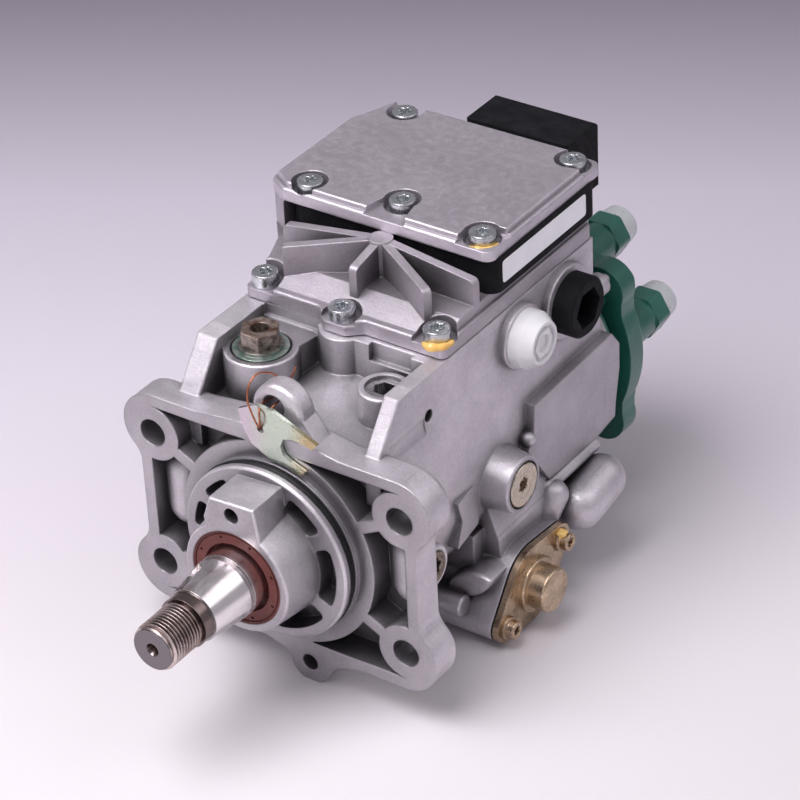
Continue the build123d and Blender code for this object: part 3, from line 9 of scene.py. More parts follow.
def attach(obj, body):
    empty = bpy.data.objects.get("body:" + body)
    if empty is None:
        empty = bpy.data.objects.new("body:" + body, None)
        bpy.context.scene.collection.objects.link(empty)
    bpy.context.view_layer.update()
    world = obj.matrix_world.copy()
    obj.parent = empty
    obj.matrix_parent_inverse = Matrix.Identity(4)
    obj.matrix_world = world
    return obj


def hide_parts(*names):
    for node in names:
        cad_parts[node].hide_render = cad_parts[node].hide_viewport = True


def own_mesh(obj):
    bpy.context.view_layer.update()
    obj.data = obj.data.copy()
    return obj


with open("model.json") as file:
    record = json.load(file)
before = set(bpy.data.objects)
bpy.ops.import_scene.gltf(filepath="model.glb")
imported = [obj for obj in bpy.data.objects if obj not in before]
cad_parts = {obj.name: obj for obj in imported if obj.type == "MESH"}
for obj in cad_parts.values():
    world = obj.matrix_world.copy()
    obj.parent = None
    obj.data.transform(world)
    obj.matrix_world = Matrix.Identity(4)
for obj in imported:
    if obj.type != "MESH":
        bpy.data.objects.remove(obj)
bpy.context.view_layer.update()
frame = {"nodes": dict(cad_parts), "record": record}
nodes = frame["nodes"]
MM = 0.001
UP, RIGHT, LEFT = (0, 0, 1), (1, 0, 0), (-1, 0, 0)


def add_object(name, data):
    obj = bpy.data.objects.new(name, data)
    bpy.context.scene.collection.objects.link(obj)
    return obj


# Camera: the photograph's viewpoint, solved from the flange and the shaft

AZ, EL, ROLL = math.radians(35.92), math.radians(33.46), math.radians(-2.92)
CAMERA_AT = (0.61574, -0.77203, 0.70965)
FOCAL_PX = 3422.81
PHOTO_PX = 800
SENSOR_MM = 36.0


def camera_matrix():
    back = Vector((math.sin(AZ) * math.cos(EL), -math.cos(AZ) * math.cos(EL), math.sin(EL)))
    right = (-back).cross(Vector(UP)).normalized()
    up = right.cross(-back)
    turned_right = right * math.cos(ROLL) + up * math.sin(ROLL)
    turned_up = up * math.cos(ROLL) - right * math.sin(ROLL)
    m = Matrix((turned_right, turned_up, back)).transposed().to_4x4()
    m.translation = Vector(CAMERA_AT)
    return m


cam = bpy.data.cameras.new("camera")
cam.sensor_width = SENSOR_MM
cam.lens = FOCAL_PX / PHOTO_PX * SENSOR_MM
cam.clip_start = 0.05
cam.clip_end = 50.0
cam_obj = add_object("camera", cam)
cam_obj.matrix_world = camera_matrix()
bpy.context.scene.camera = cam_obj
bpy.context.scene.view_settings.view_transform = "Standard"


# Materials

# Sockets of a Mix node that mixes colours
MIX_FACTOR, MIX_A, MIX_B, MIX_RESULT = 0, 6, 7, 2
# Samples of the bevel and of the painted shade in pockets
EDGE_SAMPLES, POCKET_SHADE_SAMPLES = 6, 8


def rgba(color):
    """A colour with its alpha; a node's output stays as it is."""
    return color if isinstance(color, bpy.types.NodeSocket) else (*color, 1)


class Mat:
    """A node material on the object's own coordinates, in metres."""

    def __init__(self, name, color, metallic, rough):
        self.mat = bpy.data.materials.new(name)
        self.mat.use_nodes = True
        self.tree = self.mat.node_tree
        self.shader = self.tree.nodes["Principled BSDF"]
        self.put("Base Color", color).put("Metallic", metallic).put("Roughness", rough)
        self.coord = self.tree.nodes.new("ShaderNodeTexCoord").outputs["Object"]
        self.separate = None
        self.normal = None

    def fill(self, node, inputs):
        """Links or sets a node's inputs, given by name or number."""
        for key, value in inputs.items():
            if isinstance(value, bpy.types.NodeSocket):
                self.tree.links.new(value, node.inputs[key])
            else:
                node.inputs[key].default_value = value
        return node

    def put(self, name, value):
        """Links or sets one of the shader's own sockets."""
        self.fill(self.shader, {name: rgba(value) if name == "Base Color" else value})
        return self

    def axis(self, name):
        """The object's own X, Y or Z coordinate."""
        if self.separate is None:
            self.separate = self.fill(self.tree.nodes.new("ShaderNodeSeparateXYZ"), {0: self.coord})
        return self.separate.outputs[name]

    def stretched(self, x, y, z):
        n = self.fill(self.tree.nodes.new("ShaderNodeMapping"), {"Scale": (x, y, z), "Vector": self.coord})
        return n.outputs["Vector"]

    def noise(self, scale, detail=3.0, rough=0.55, vector=None):
        n = self.tree.nodes.new("ShaderNodeTexNoise")
        self.fill(n, {"Vector": vector or self.coord, "Scale": scale, "Detail": detail, "Roughness": rough})
        return n.outputs["Fac"]

    def span(self, value, a, b, low=0.0, high=1.0):
        """The range from a to b, spread from low to high."""
        n = self.tree.nodes.new("ShaderNodeMapRange")
        self.fill(n, {"Value": value, "From Min": a, "From Max": b, "To Min": low, "To Max": high})
        return n.outputs["Result"]

    def wander(self, noise, low, high):
        """A noise's middle range, spread from low to high."""
        return self.span(noise, 0.3, 0.7, low, high)

    def math(self, operation, a, b=0.0):
        n = self.tree.nodes.new("ShaderNodeMath")
        n.operation = operation
        self.fill(n, {0: a, 1: b})
        return n.outputs["Value"]

    def plus(self, a, b):
        return self.math("ADD", a, b)

    def minus(self, a, b):
        return self.math("SUBTRACT", a, b)

    def times(self, a, b):
        return self.math("MULTIPLY", a, b)

    def mix(self, fac, a, b):
        n = self.tree.nodes.new("ShaderNodeMix")
        n.data_type = "RGBA"
        self.fill(n, {MIX_FACTOR: fac, MIX_A: rgba(a), MIX_B: rgba(b)})
        return n.outputs[MIX_RESULT]

    def shade(self, color, fac):
        """The colour times the factor."""
        n = self.tree.nodes.new("ShaderNodeMix")
        n.data_type = "RGBA"
        n.blend_type = "MULTIPLY"
        self.fill(n, {MIX_FACTOR: 1.0, MIX_A: color, MIX_B: fac})
        return n.outputs[MIX_RESULT]

    def bump(self, height, strength, distance):
        n = self.tree.nodes.new("ShaderNodeBump")
        self.fill(n, {"Height": height, "Strength": strength, "Distance": distance})
        if self.normal is not None:
            self.fill(n, {"Normal": self.normal})
        self.normal = n.outputs["Normal"]
        return self

    def soft_edges(self, radius):
        n = self.tree.nodes.new("ShaderNodeBevel")
        n.samples = EDGE_SAMPLES
        self.fill(n, {"Radius": radius})
        self.normal = n.outputs["Normal"]

    def near(self, axis, value, width):
        """1 where the coordinate along axis is near value, 0 elsewhere."""
        off = self.math("ABSOLUTE", self.minus(self.axis(axis), value))
        return self.math("LESS_THAN", off, width)

    def pocket_shade(self, reach, darkest):
        """Painted shade: 1 on open faces, down to darkest deep in pockets and corners."""
        n = self.tree.nodes.new("ShaderNodeAmbientOcclusion")
        n.samples = POCKET_SHADE_SAMPLES
        n.only_local = True
        self.fill(n, {"Distance": reach})
        return self.span(n.outputs["AO"], 0.25, 0.95, darkest, 1.0)

    def done(self):
        if self.normal is not None:
            self.put("Normal", self.normal)
        return self.mat


def speckled(m, low, high):
    """A colour that wanders between two tones, blotches and grain together."""
    both = m.plus(m.times(m.noise(900.0, 2.0), 0.3), m.times(m.noise(45.0, 4.0), 0.7))
    return m.mix(m.span(both, 0.36, 0.64), low, high)


# Machined faces of the casting, which are also darkened as painted shade, as axis and place, and how near to its
# place a face has to lie
MACHINED_AND_SHADED = (("Y", 0.0), ("Y", -8 * MM), ("Y", -25 * MM), ("X", 48 * MM), ("X", 55 * MM), ("Z", 57 * MM))
FACE_NEAR = 0.00006


def arm_tips(m):
    """1 on the sloped tips of the two arms beside the tag lug."""
    front = m.math("LESS_THAN", m.axis("Y"), 30 * MM)
    high = m.math("GREATER_THAN", m.axis("Z"), 48 * MM)
    wide = m.math("GREATER_THAN", m.math("ABSOLUTE", m.axis("X")), 30 * MM)
    return m.times(m.times(front, high), wide)


def cast_metal(name, low, high, metallic, rough, edge, darkest, reach, machined_and_shaded=(), sandy=None):
    """Cast aluminium with painted shade in its pockets; faces cut on a machine are smoother and darker by painted
    shade, and what sandy picks out is gritty.
    """
    m = Mat(name, high, metallic, rough)
    m.soft_edges(edge)
    # The colour is darkened in pockets and corners as painted shade.
    color = m.shade(speckled(m, low, high), m.pocket_shade(reach, darkest))
    r = m.wander(m.noise(300.0), rough - 0.07, rough + 0.08)
    height = m.noise(1300.0, 4.0, 0.7)
    if machined_and_shaded:
        mask = m.near(*machined_and_shaded[0], FACE_NEAR)
        for face in machined_and_shaded[1:]:
            mask = m.math("MAXIMUM", mask, m.near(*face, FACE_NEAR))
        keep = m.minus(1.0, mask)
        lines = m.noise(700.0, 2.0, 0.4, m.stretched(1.0, 1.0, 0.12))
        m.put("Metallic", m.span(mask, 0.0, 1.0, metallic, 0.9))
        # Painted shade: the machined faces' colour is darkened to 70 percent.
        color = m.shade(color, m.span(mask, 0.0, 1.0, 1.0, 0.70))
        r = m.plus(m.times(r, keep), m.times(m.wander(lines, 0.30, 0.40), mask))
        height = m.plus(m.times(height, keep), m.times(m.times(lines, 0.3), mask))
    if sandy:
        mask = sandy(m)
        height = m.plus(height, m.times(m.times(m.noise(1500.0, 3.0, 0.8), 2.4), mask))
        r = m.plus(r, m.times(mask, 0.08))
    m.put("Base Color", color).put("Roughness", r)
    m.bump(height, 0.6, 0.00024).bump(m.noise(120.0, 2.0), 0.25, 0.0004)
    return m.done()


STEEL_EDGE = 0.0003


def turning_marks(m, scale):
    """A noise drawn out into rings around Y."""
    return m.noise(scale, 3.0, 0.6, m.stretched(0.02, 1.0, 0.02))


def turned_metal(name, color, rough, dark=None, lines=2600.0):
    m = Mat(name, color, 1.0, rough)
    m.soft_edges(STEEL_EDGE)
    marks = turning_marks(m, lines)
    stained = m.mix(m.span(m.noise(70.0, 6.0, 0.7), 0.40, 0.62), color, dark or tuple(c * 0.72 for c in color))
    # The colour is darkened in recesses as painted shade.
    m.put("Base Color", m.shade(stained, m.pocket_shade(0.004, 0.15)))
    m.put("Roughness", m.wander(marks, rough - 0.06, rough + 0.1))
    return m.bump(marks, 0.3, 0.00008).done()


def ground_shaft(name):
    """Ground steel: fine rings, brown stains on one side, a dark collar and thread core."""
    m = Mat(name, (0.6, 0.56, 0.56), 1.0, 0.2)
    m.soft_edges(STEEL_EDGE)
    stain = m.span(m.noise(95.0, 6.0, 0.7, m.stretched(1.0, 0.45, 1.0)), 0.44, 0.64)
    side = m.span(m.minus(m.axis("Z"), m.axis("X")), 0.0, 14 * MM, 0.15, 1.0)
    color = m.mix(m.times(stain, side), (0.90, 0.86, 0.87), (0.42, 0.33, 0.31))
    collar = m.span(m.axis("Y"), -50.9 * MM, -50.1 * MM, 1.0, 0.0)
    color = m.mix(collar, color, (0.24, 0.19, 0.18))
    tip = m.span(m.axis("Y"), -72.6 * MM, -72.0 * MM, 1.0, 0.0)
    color = m.mix(tip, color, (0.20, 0.18, 0.19))
    marks = turning_marks(m, 2600.0)
    # The colour is darkened in recesses as painted shade.
    m.put("Base Color", m.shade(color, m.pocket_shade(0.003, 0.2))).put("Roughness", m.wander(marks, 0.17, 0.27))
    return m.bump(marks, 0.12, 0.00004).done()


def plated(name, color, other, rough=0.3, grain=500.0):
    """Plated steel that wanders between two tones."""
    m = Mat(name, color, 0.95, rough)
    m.soft_edges(STEEL_EDGE)
    m.put("Base Color", m.mix(m.span(m.noise(grain, 4.0, 0.6), 0.35, 0.68), color, other))
    m.put("Roughness", m.wander(m.noise(380.0), rough - 0.06, rough + 0.12))
    return m.bump(m.noise(1300.0), 0.3, 0.0001).done()


def plastic(name, color, rough, grain=2200.0, strength=0.35, lighter=1.5, edge=0.0004, shine=0.22):
    """Plastic, rubber or paper with a fine grain and slightly lighter patches."""
    m = Mat(name, color, 0.0, rough)
    m.soft_edges(edge)
    m.put("Specular IOR Level", shine)
    light = tuple(min(1.0, c * lighter + 0.004) for c in color)
    m.put("Base Color", m.mix(m.span(m.noise(160.0, 4.0), 0.4, 0.75), color, light))
    m.put("Roughness", m.wander(m.noise(420.0), rough - 0.06, rough + 0.08))
    return m.bump(m.noise(grain, 2.0), strength, 0.00008).done()


def painted(name, color, shade):
    m = Mat(name, color, 0.0, 0.3)
    m.soft_edges(0.0006)
    m.put("Coat Weight", 0.35).put("Coat Roughness", 0.18)
    m.put("Base Color", m.mix(m.span(m.noise(70.0, 4.0), 0.35, 0.7), color, shade))
    return m.bump(m.noise(420.0), 0.35, 0.00025).done()


def milky(name):
    """Half-clear plastic of the outlet caps."""
    m = Mat(name, (0.80, 0.83, 0.86), 0.0, 0.32)
    m.soft_edges(0.0005)
    m.put("Transmission Weight", 0.35).put("IOR", 1.45)
    m.put("Subsurface Weight", 0.2).put("Subsurface Radius", (0.004, 0.004, 0.004))
    m.put("Roughness", m.wander(m.noise(300.0), 0.26, 0.42))
    return m.bump(m.noise(500.0, 2.0), 0.2, 0.0002).done()


def worn_bolt(name):
    """Dark worn hexagon, greenish washer, rust around the hole."""
    m = Mat(name, (0.2, 0.16, 0.13), 0.85, 0.4)
    m.soft_edges(0.0006)
    washer = m.mix(m.span(m.noise(260.0, 5.0, 0.7), 0.4, 0.6), (0.22, 0.33, 0.28), (0.46, 0.48, 0.46))
    flanks = m.mix(m.span(m.noise(190.0, 5.0, 0.7), 0.42, 0.6), (0.10, 0.08, 0.065), (0.42, 0.36, 0.32))
    rust = m.mix(m.span(m.noise(300.0, 4.0), 0.4, 0.6), (0.14, 0.075, 0.05), (0.36, 0.29, 0.25))
    upper = m.mix(m.span(m.axis("Z"), 63.4 * MM, 64.6 * MM), flanks, rust)
    color = m.mix(m.span(m.axis("Z"), 57.8 * MM, 58.6 * MM), washer, upper)
    # The colour is darkened in recesses as painted shade.
    m.put("Base Color", m.shade(color, m.pocket_shade(0.003, 0.2)))
    m.put("Roughness", m.wander(m.noise(240.0, 4.0), 0.26, 0.5))
    return m.bump(m.noise(700.0, 4.0), 0.5, 0.0002).done()


def rainbow_zinc(name):
    """Yellow-passivated sheet: pinkish at one end, green in the middle, gold at the prongs."""
    m = Mat(name, (0.6, 0.6, 0.5), 0.85, 0.22)
    drift = m.times(m.minus(m.noise(60.0), 0.5), 12 * MM)
    along = m.plus(m.axis("X"), drift)
    first = m.mix(m.span(along, -9 * MM, 1 * MM), (0.58, 0.50, 0.56), (0.53, 0.60, 0.50))
    m.put("Base Color", m.mix(m.span(along, 9 * MM, 18 * MM), first, (0.50, 0.40, 0.22)))
    m.put("Roughness", m.wander(m.noise(300.0), 0.18, 0.3))
    return m.bump(m.noise(900.0), 0.25, 0.00008).done()


casting = cast_metal("cast_aluminium", (0.52, 0.49, 0.53), (0.70, 0.67, 0.71), metallic=0.74, rough=0.40,
                     edge=0.0010, darkest=0.20, reach=0.018, machined_and_shaded=MACHINED_AND_SHADED, sandy=arm_tips)
cover_metal = cast_metal("cover_aluminium", (0.56, 0.52, 0.57), (0.65, 0.61, 0.66), metallic=0.85, rough=0.38,
                         edge=0.0007, darkest=0.35, reach=0.010)
base_metal = cast_metal("base_aluminium", (0.40, 0.37, 0.41), (0.50, 0.465, 0.505), metallic=0.8, rough=0.47,
                        edge=0.0007, darkest=0.3, reach=0.016)
thread_metal = turned_metal("thread_steel", (0.72, 0.62, 0.60), 0.27, (0.36, 0.27, 0.24), lines=1500.0)
screw_zinc = plated("screw_zinc", (0.66, 0.68, 0.70), (0.44, 0.46, 0.48), 0.22, grain=260.0)
gold_zinc = plated("yellow_zinc", (0.36, 0.265, 0.185), (0.64, 0.50, 0.35), 0.28, grain=110.0)
side_plug_metal = plated("pale_yellow_zinc", (0.52, 0.45, 0.36), (0.62, 0.55, 0.46), 0.26, grain=150.0)
dark_steel = plated("dark_steel", (0.13, 0.105, 0.085), (0.30, 0.25, 0.21), 0.40)
copper = plated("copper_wire", (0.34, 0.11, 0.06), (0.52, 0.22, 0.12), 0.35, grain=900.0)
label_paper = plastic("label_paper", (0.86, 0.86, 0.90), 0.5, 2600.0, 0.2, lighter=1.05, edge=0.0001)
yellow_paint = painted("yellow_paint", (0.80, 0.53, 0.17), (0.74, 0.43, 0.11))

BY_SLOT = {
    "cast_aluminium": casting,
    "cover_aluminium": cover_metal,
    "shaft_steel": ground_shaft("ground_steel"),
    "bright_steel": turned_metal("bright_steel", (0.55, 0.54, 0.55), 0.25),
    "dark_steel": dark_steel,
    "zinc_screw": screw_zinc,
    "yellow_zinc": gold_zinc,
    "green_zinc": plated("green_zinc", (0.56, 0.62, 0.50), (0.62, 0.54, 0.60), 0.24, grain=45.0),
    "copper_wire": copper,
    "tin_pin": plated("tinned_pin", (0.75, 0.74, 0.70), (0.6, 0.6, 0.56), 0.25),
    "black_rubber": plastic("black_rubber", (0.008, 0.008, 0.009), 0.5),
    "brown_rubber": plastic("brown_rubber", (0.125, 0.036, 0.032), 0.42, 1800.0, 0.4, lighter=1.3),
    "black_plastic": plastic("black_plastic", (0.005, 0.005, 0.0065), 0.62, 1800.0, 0.4, shine=0.12),
    "white_plastic": plastic("white_plastic", (0.74, 0.735, 0.76), 0.38, strength=0.2, lighter=1.06),
    "clear_plastic": milky("clear_plastic"),
    "gasket": plastic("gasket", (0.012, 0.012, 0.012), 0.7),
    "board_green": plastic("board_lacquer", (0.03, 0.16, 0.07), 0.3),
    "green_paint": painted("green_paint", (0.014, 0.105, 0.078), (0.024, 0.145, 0.11)),
}


def paint(obj, material):
    obj.data.materials.clear()
    obj.data.materials.append(material)


slot_of = {s["node"]: s["material_slot"] for s in frame["record"]["subparts"]}
for name, obj in nodes.items():
    paint(obj, BY_SLOT[slot_of[name]])
paint(nodes["lock_bolt"], worn_bolt("worn_bolt"))
paint(nodes["lock_plate"], rainbow_zinc("tag_zinc"))
paint(nodes["ecu_base"], base_metal)


# Mesh helpers

AROUND = 72
SOCKET_LOBES = 6


def to_object(name, bm, material, angle=30.0):
    """Smooth shaded object; edges sharper than angle, in degrees, stay sharp."""
    bmesh.ops.recalc_face_normals(bm, faces=bm.faces)
    mesh = bpy.data.meshes.new(name)
    bm.to_mesh(mesh)
    bm.free()
    obj = add_object(name, mesh)
    for p in mesh.polygons:
        p.use_smooth = True
    mesh.set_sharp_from_angle(angle=math.radians(angle))
    mesh.materials.append(material)
    return obj


def stand(origin, axis, turn=0.0):
    """Matrix that puts local +Z on axis at origin."""
    z = Vector(axis).normalized()
    x = Vector(UP).cross(z)
    if x.length < 1e-6:
        x = Vector(RIGHT)
    x.normalize()
    y = z.cross(x)
    m = Matrix((x, y, z)).transposed().to_4x4()
    m.translation = Vector(origin)
    return m @ Matrix.Rotation(turn, 4, "Z")


def stand_mm(origin, axis, turn=0.0):
    """The same for an origin and a shape in millimetres."""
    return stand([c * MM for c in origin], axis, turn) @ Matrix.Scale(MM, 4)


def rings(bm, loops, matrix):
    """Skins loops of points, all with the same number of points, and closes both ends."""
    rows = [[bm.verts.new(matrix @ Vector(p)) for p in loop] for loop in loops]
    n = len(rows[0])
    for a, b in zip(rows, rows[1:]):
        for i in range(n):
            j = (i + 1) % n
            bm.faces.new((a[i], a[j], b[j], b[i]))
    bm.faces.new(list(reversed(rows[0])))
    bm.faces.new(rows[-1])


def circle(r, z, wave=0.0):
    """Points around the axis at height z, waved into the lobes of a socket."""
    out = []
    for i in range(AROUND):
        a = 2 * math.pi * i / AROUND
        q = r * (1 + wave * math.cos(SOCKET_LOBES * a))
        out.append((q * math.cos(a), q * math.sin(a), z))
    return out


def turned_piece(name, node, material, profile, places):
    """Turned copies at (origin, axis, turn) stand for a node of the casing.

    The profile goes up from the foot, in steps of (radius, height) or (radius, height, wave)."""
    bm = bmesh.new()
    for place in places:
        rings(bm, [circle(*step) for step in profile], stand_mm(*place))
    obj = to_object(name, bm, material)
    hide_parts(node)
    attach(obj, "casing")


# Screws of the control unit: straight heads with a rounded crown and a six-lobe socket

HEAD_R, HEAD_H, SHANK_R = 5.0, 5.2, 2.5
COVER_SEAT, COVER_SHANK = 86.1 + 1.9, 17.0
BASE_SEAT, BASE_SHANK = 66.0, 14.0
COVER_SPOTS = [(-41.4, 86.4), (-4.7, 92.2), (32.7, 87.3), (32.7, 147.5), (-40.6, 146.4)]
BASE_SPOTS = [(-40.5, 55.2), (-3.1, 50.0), (33.9, 55.2)]


def crowned_head(shank):
    r, h, s = HEAD_R, HEAD_H, HEAD_R * 0.47
    return [(SHANK_R, -shank), (SHANK_R, 0), (r * 0.96, 0), (r, h * 0.05), (r, h * 0.84), (r * 0.985, h * 0.93),
            (r * 0.94, h * 0.985), (r * 0.88, h), (s * 1.22, h, 0.04), (s * 1.07, h * 0.985, 0.11),
            (s, h * 0.93, 0.14), (s * 0.97, h * 0.45, 0.14), (s * 0.45, h * 0.36)]


def upright(spots, seat):
    """Places of heads that stand on a seat, each turned by another angle."""
    return [((*spot, seat), UP, 0.7 + 1.3 * i) for i, spot in enumerate(spots)]


turned_piece("cover_screw_heads", "ecu_cover_screws",
             screw_zinc, crowned_head(COVER_SHANK), upright(COVER_SPOTS, COVER_SEAT))
turned_piece("base_screw_heads", "ecu_base_screws",
             screw_zinc, crowned_head(BASE_SHANK), upright(BASE_SPOTS, BASE_SEAT))


# Plugs and screws on the sides: chamfered faces with six-lobe sockets

def with_socket(profile, socket, deep):
    """Profile with a six-lobe socket in its last face."""
    top = profile[-1][1]
    return profile + [(socket * 1.25, top, 0.04), (socket * 1.08, top - 0.08, 0.12), (socket, top - 0.35, 0.15),
                      (socket * 0.97, top - deep, 0.15), (socket * 0.4, top - deep - 0.3)]


SIDE_PLUG_AT = (55.0, 75.7, -1.0)
SIDE_PLUG = with_socket([(6.45, -13.0), (6.45, -3.0), (8.56, -3.0), (8.56, -0.05), (8.3, 0.28), (5.2, 0.28),
                         (5.0, 0.1)], 2.8, 3.4)
FLANGE_PLUG_AT = (51.5, 22.5, -6.0)
FLANGE_PLUG = with_socket([(6.58, -8.0), (6.58, 0.2), (6.2, 0.58), (4.9, 0.58), (4.7, 0.4)], 3.4, 3.0)
TIMING_HEAD_R = 3.5
TIMING_HEAD = with_socket([(2.5, -13.5), (2.5, 0.0), (4.5, 0.0), (4.55, 0.25), (4.5, 1.1), (4.2, 1.4), (3.55, 1.55),
                           (TIMING_HEAD_R, 1.8), (TIMING_HEAD_R, 4.15), (3.2, 4.55)], 1.75, 2.6)

TIMING_Y, TIMING_Z = 77, -45
TIMING_SPOT_R, TIMING_SPOT_ANGLE = 20.5, math.radians(24)
TIMING_RIGHT, TIMING_LEFT = 57.4, -54.8
TIMING_SPOTS = [(TIMING_Y + TIMING_SPOT_R * math.cos(TIMING_SPOT_ANGLE) * k,
                 TIMING_Z + TIMING_SPOT_R * math.sin(TIMING_SPOT_ANGLE) * k) for k in (1, -1)]

timing_places = []
for i, spot in enumerate(TIMING_SPOTS):
    timing_places += [((TIMING_RIGHT, *spot), RIGHT, 0.4 + i), ((TIMING_LEFT, *spot), LEFT, 0.9 + i)]

turned_piece("side_plug_lobed", "side_torx_plug", side_plug_metal, SIDE_PLUG, [(SIDE_PLUG_AT, RIGHT, 0.3)])
turned_piece("flange_plug_lobed", "flange_torx_plug", dark_steel, FLANGE_PLUG, [(FLANGE_PLUG_AT, RIGHT, 0.1)])
turned_piece("timing_screw_heads", "timing_screws", gold_zinc, TIMING_HEAD, timing_places)


# Dabs of yellow paint that seal three screws

DAB_STEPS, DAB_SIDES = 26, 12


def paint_dab(name, origin, axis, r, mid_deg, half_deg, wide, high):
    """A lumpy dab that hugs a head of radius r from mid_deg - half_deg to mid_deg + half_deg."""
    loops = []
    for i in range(DAB_STEPS + 1):
        t = i / DAB_STEPS
        a = math.radians(mid_deg + half_deg * (2 * t - 1))
        lumps = 1 + 0.13 * math.sin(9 * t + r) + 0.08 * math.sin(23 * t)
        swell = max(0.06, math.sin(math.pi * t)) ** 0.6 * lumps
        loop = []
        for k in range(DAB_SIDES):
            b = math.pi * k / (DAB_SIDES - 1)
            q = r - 0.15 + wide * swell * (1 - math.cos(b)) / 2
            loop.append((q * math.cos(a), q * math.sin(a), -0.05 + high * swell * math.sin(b) ** 0.8))
        loops.append(loop)
    bm = bmesh.new()
    rings(bm, loops, stand_mm(origin, axis))
    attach(to_object(name, bm, yellow_paint, 60), "casing")


paint_dab("paint_dab_base", (*BASE_SPOTS[2], BASE_SEAT), UP, HEAD_R, -52, 78, wide=3.2, high=2.2)
paint_dab("paint_dab_cover", (*COVER_SPOTS[2], COVER_SEAT), UP, HEAD_R, -48, 82, wide=2.6, high=2.3)
paint_dab("paint_dab_timing", (TIMING_RIGHT, *TIMING_SPOTS[0]), RIGHT, TIMING_HEAD_R, 105, 62, wide=1.4, high=3.2)


# Drive shaft: the CAD solid with its front turned as in the photograph, a narrower collar and the thread's core

KEY_TURN = math.radians(-16)
FRONT_Y = -29
COLLAR_Y, COLLAR_CAD, COLLAR_R = -50.3, (10.1, 10.3), 9.75
CORE_Y, CORE_CAD, CORE_R = -55.3, (7.0, 9.5), 8.0


def shaft_piece():
    mesh = nodes["drive_shaft"].data.copy()
    turned = Matrix.Rotation(-KEY_TURN, 3, "Y")
    for v in mesh.vertices:
        r = math.hypot(v.co.x, v.co.z) / MM
        if v.co.y < FRONT_Y * MM:
            v.co = turned @ v.co
        new_r = r
        if v.co.y < CORE_Y * MM and CORE_CAD[0] < r < CORE_CAD[1]:
            new_r = CORE_R
        elif v.co.y < COLLAR_Y * MM and COLLAR_CAD[0] < r < COLLAR_CAD[1]:
            new_r = COLLAR_R
        if new_r != r:
            v.co.x *= new_r / r
            v.co.z *= new_r / r
    obj = add_object("shaft_body", mesh)
    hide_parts("drive_shaft")
    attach(obj, "shaft_line")


THREAD_START, THREAD_END, PITCH = -72.2, -55.6, 1.5
THREAD_R, ROOT_R = 8.98, CORE_R - 0.15
THREAD_AROUND = 64


def thread_piece():
    """The thread's ridge as one spiral that rises out of the core and sinks into it again."""
    bm = bmesh.new()
    steps = int((THREAD_END - THREAD_START) / PITCH * THREAD_AROUND)
    rows = []
    for i in range(steps + 1):
        a = 2 * math.pi * i / THREAD_AROUND
        y = THREAD_START + PITCH * i / THREAD_AROUND
        fade = min(1.0, i / (0.6 * THREAD_AROUND), (steps - i) / (0.4 * THREAD_AROUND))
        top = CORE_R + (THREAD_R - CORE_R) * max(0.02, fade)
        row = []
        for r, share in ((ROOT_R, -0.46), (top, -0.07), (top, 0.07), (ROOT_R, 0.46)):
            row.append(bm.verts.new((r * MM * math.cos(a), (y + share * PITCH) * MM, r * MM * math.sin(a))))
        rows.append(row)
    for a, b in zip(rows, rows[1:]):
        for k in range(3):
            bm.faces.new((a[k], b[k], b[k + 1], a[k + 1]))
    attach(to_object("shaft_thread", bm, thread_metal, 40), "shaft_line")


shaft_piece()
thread_piece()


# Tie wire: a soft loop through the tag's hole and over the lug, and one through the lug's eye

WIRE_R = 0.36
WIRE_RUNS = [
    [(-1.0, 11.9, 60.4), (-2.6, 9.4, 65.0), (-4.2, 5.5, 67.6), (-5.0, 0.6, 69.3), (-5.6, -3.2, 66.0),
     (-5.2, -4.8, 61.0), (-3.9, -3.7, 54.5), (-2.7, -2.9, 49.9), (-2.6, -1.0, 48.5), (-2.5, 0.6, 49.3),
     (-1.9, 1.2, 52.0), (-0.6, 3.2, 55.6), (0.4, 7.0, 57.0), (0.8, 11.4, 57.6), (0.6, 12.4, 60.0)],
    [(-2.7, -1.2, 48.3), (-2.0, -3.2, 49.6), (-1.2, -3.6, 53.4), (-1.9, -2.9, 56.6), (-3.0, 0.0, 58.0),
     (-3.2, 4.4, 56.9), (-1.6, 9.8, 57.4), (-0.4, 11.9, 60.2), (1.0, 12.3, 62.8), (2.4, 13.0, 65.4),
     (2.9, 13.6, 67.4)],
]


def wire_piece():
    curve = bpy.data.curves.new("tie_wire_loop", "CURVE")
    curve.dimensions = "3D"
    curve.bevel_depth = WIRE_R * MM
    curve.bevel_resolution = 4
    curve.resolution_u = 10
    curve.use_fill_caps = True
    for run in WIRE_RUNS:
        s = curve.splines.new("NURBS")
        s.points.add(len(run) - 1)
        for p, c in zip(s.points, run):
            p.co = (c[0] * MM, c[1] * MM, c[2] * MM, 1)
        s.order_u = 3
        s.use_endpoint_u = True
    obj = add_object("tie_wire_loop", curve)
    curve.materials.append(copper)
    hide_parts("tie_wire")
    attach(obj, "lock_tag")


wire_piece()


# Spring of the timing piston: its own copy of the CAD coil, fixed to the casing


def spring_piece():
    obj = add_object("timing_spring_coil", nodes["timing_spring"].data.copy())
    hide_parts("timing_spring")
    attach(obj, "casing")
    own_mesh(obj)


spring_piece()


# Bare label on the control unit's frame

LABEL_Y0, LABEL_Y1, LABEL_Z0, LABEL_Z1 = 86.0, 141.5, 75.0, 84.0
LABEL_X0, LABEL_X1 = 41.65, 41.85
LABEL_CORNER = 1.3


def label_piece():
    r = LABEL_CORNER
    y0, y1, z0, z1 = LABEL_Y0 + r, LABEL_Y1 - r, LABEL_Z0 + r, LABEL_Z1 - r
    outline = []
    for y, z, start in ((y1, z1, 0), (y0, z1, 90), (y0, z0, 180), (y1, z0, 270)):
        for k in range(5):
            a = math.radians(start + 22.5 * k)
            outline.append((y + r * math.cos(a), z + r * math.sin(a)))
    bm = bmesh.new()
    rings(bm, [[(x, y, z) for y, z in outline] for x in (LABEL_X0, LABEL_X1)], Matrix.Scale(MM, 4))
    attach(to_object("blank_label", bm, label_paper), "casing")


label_piece()
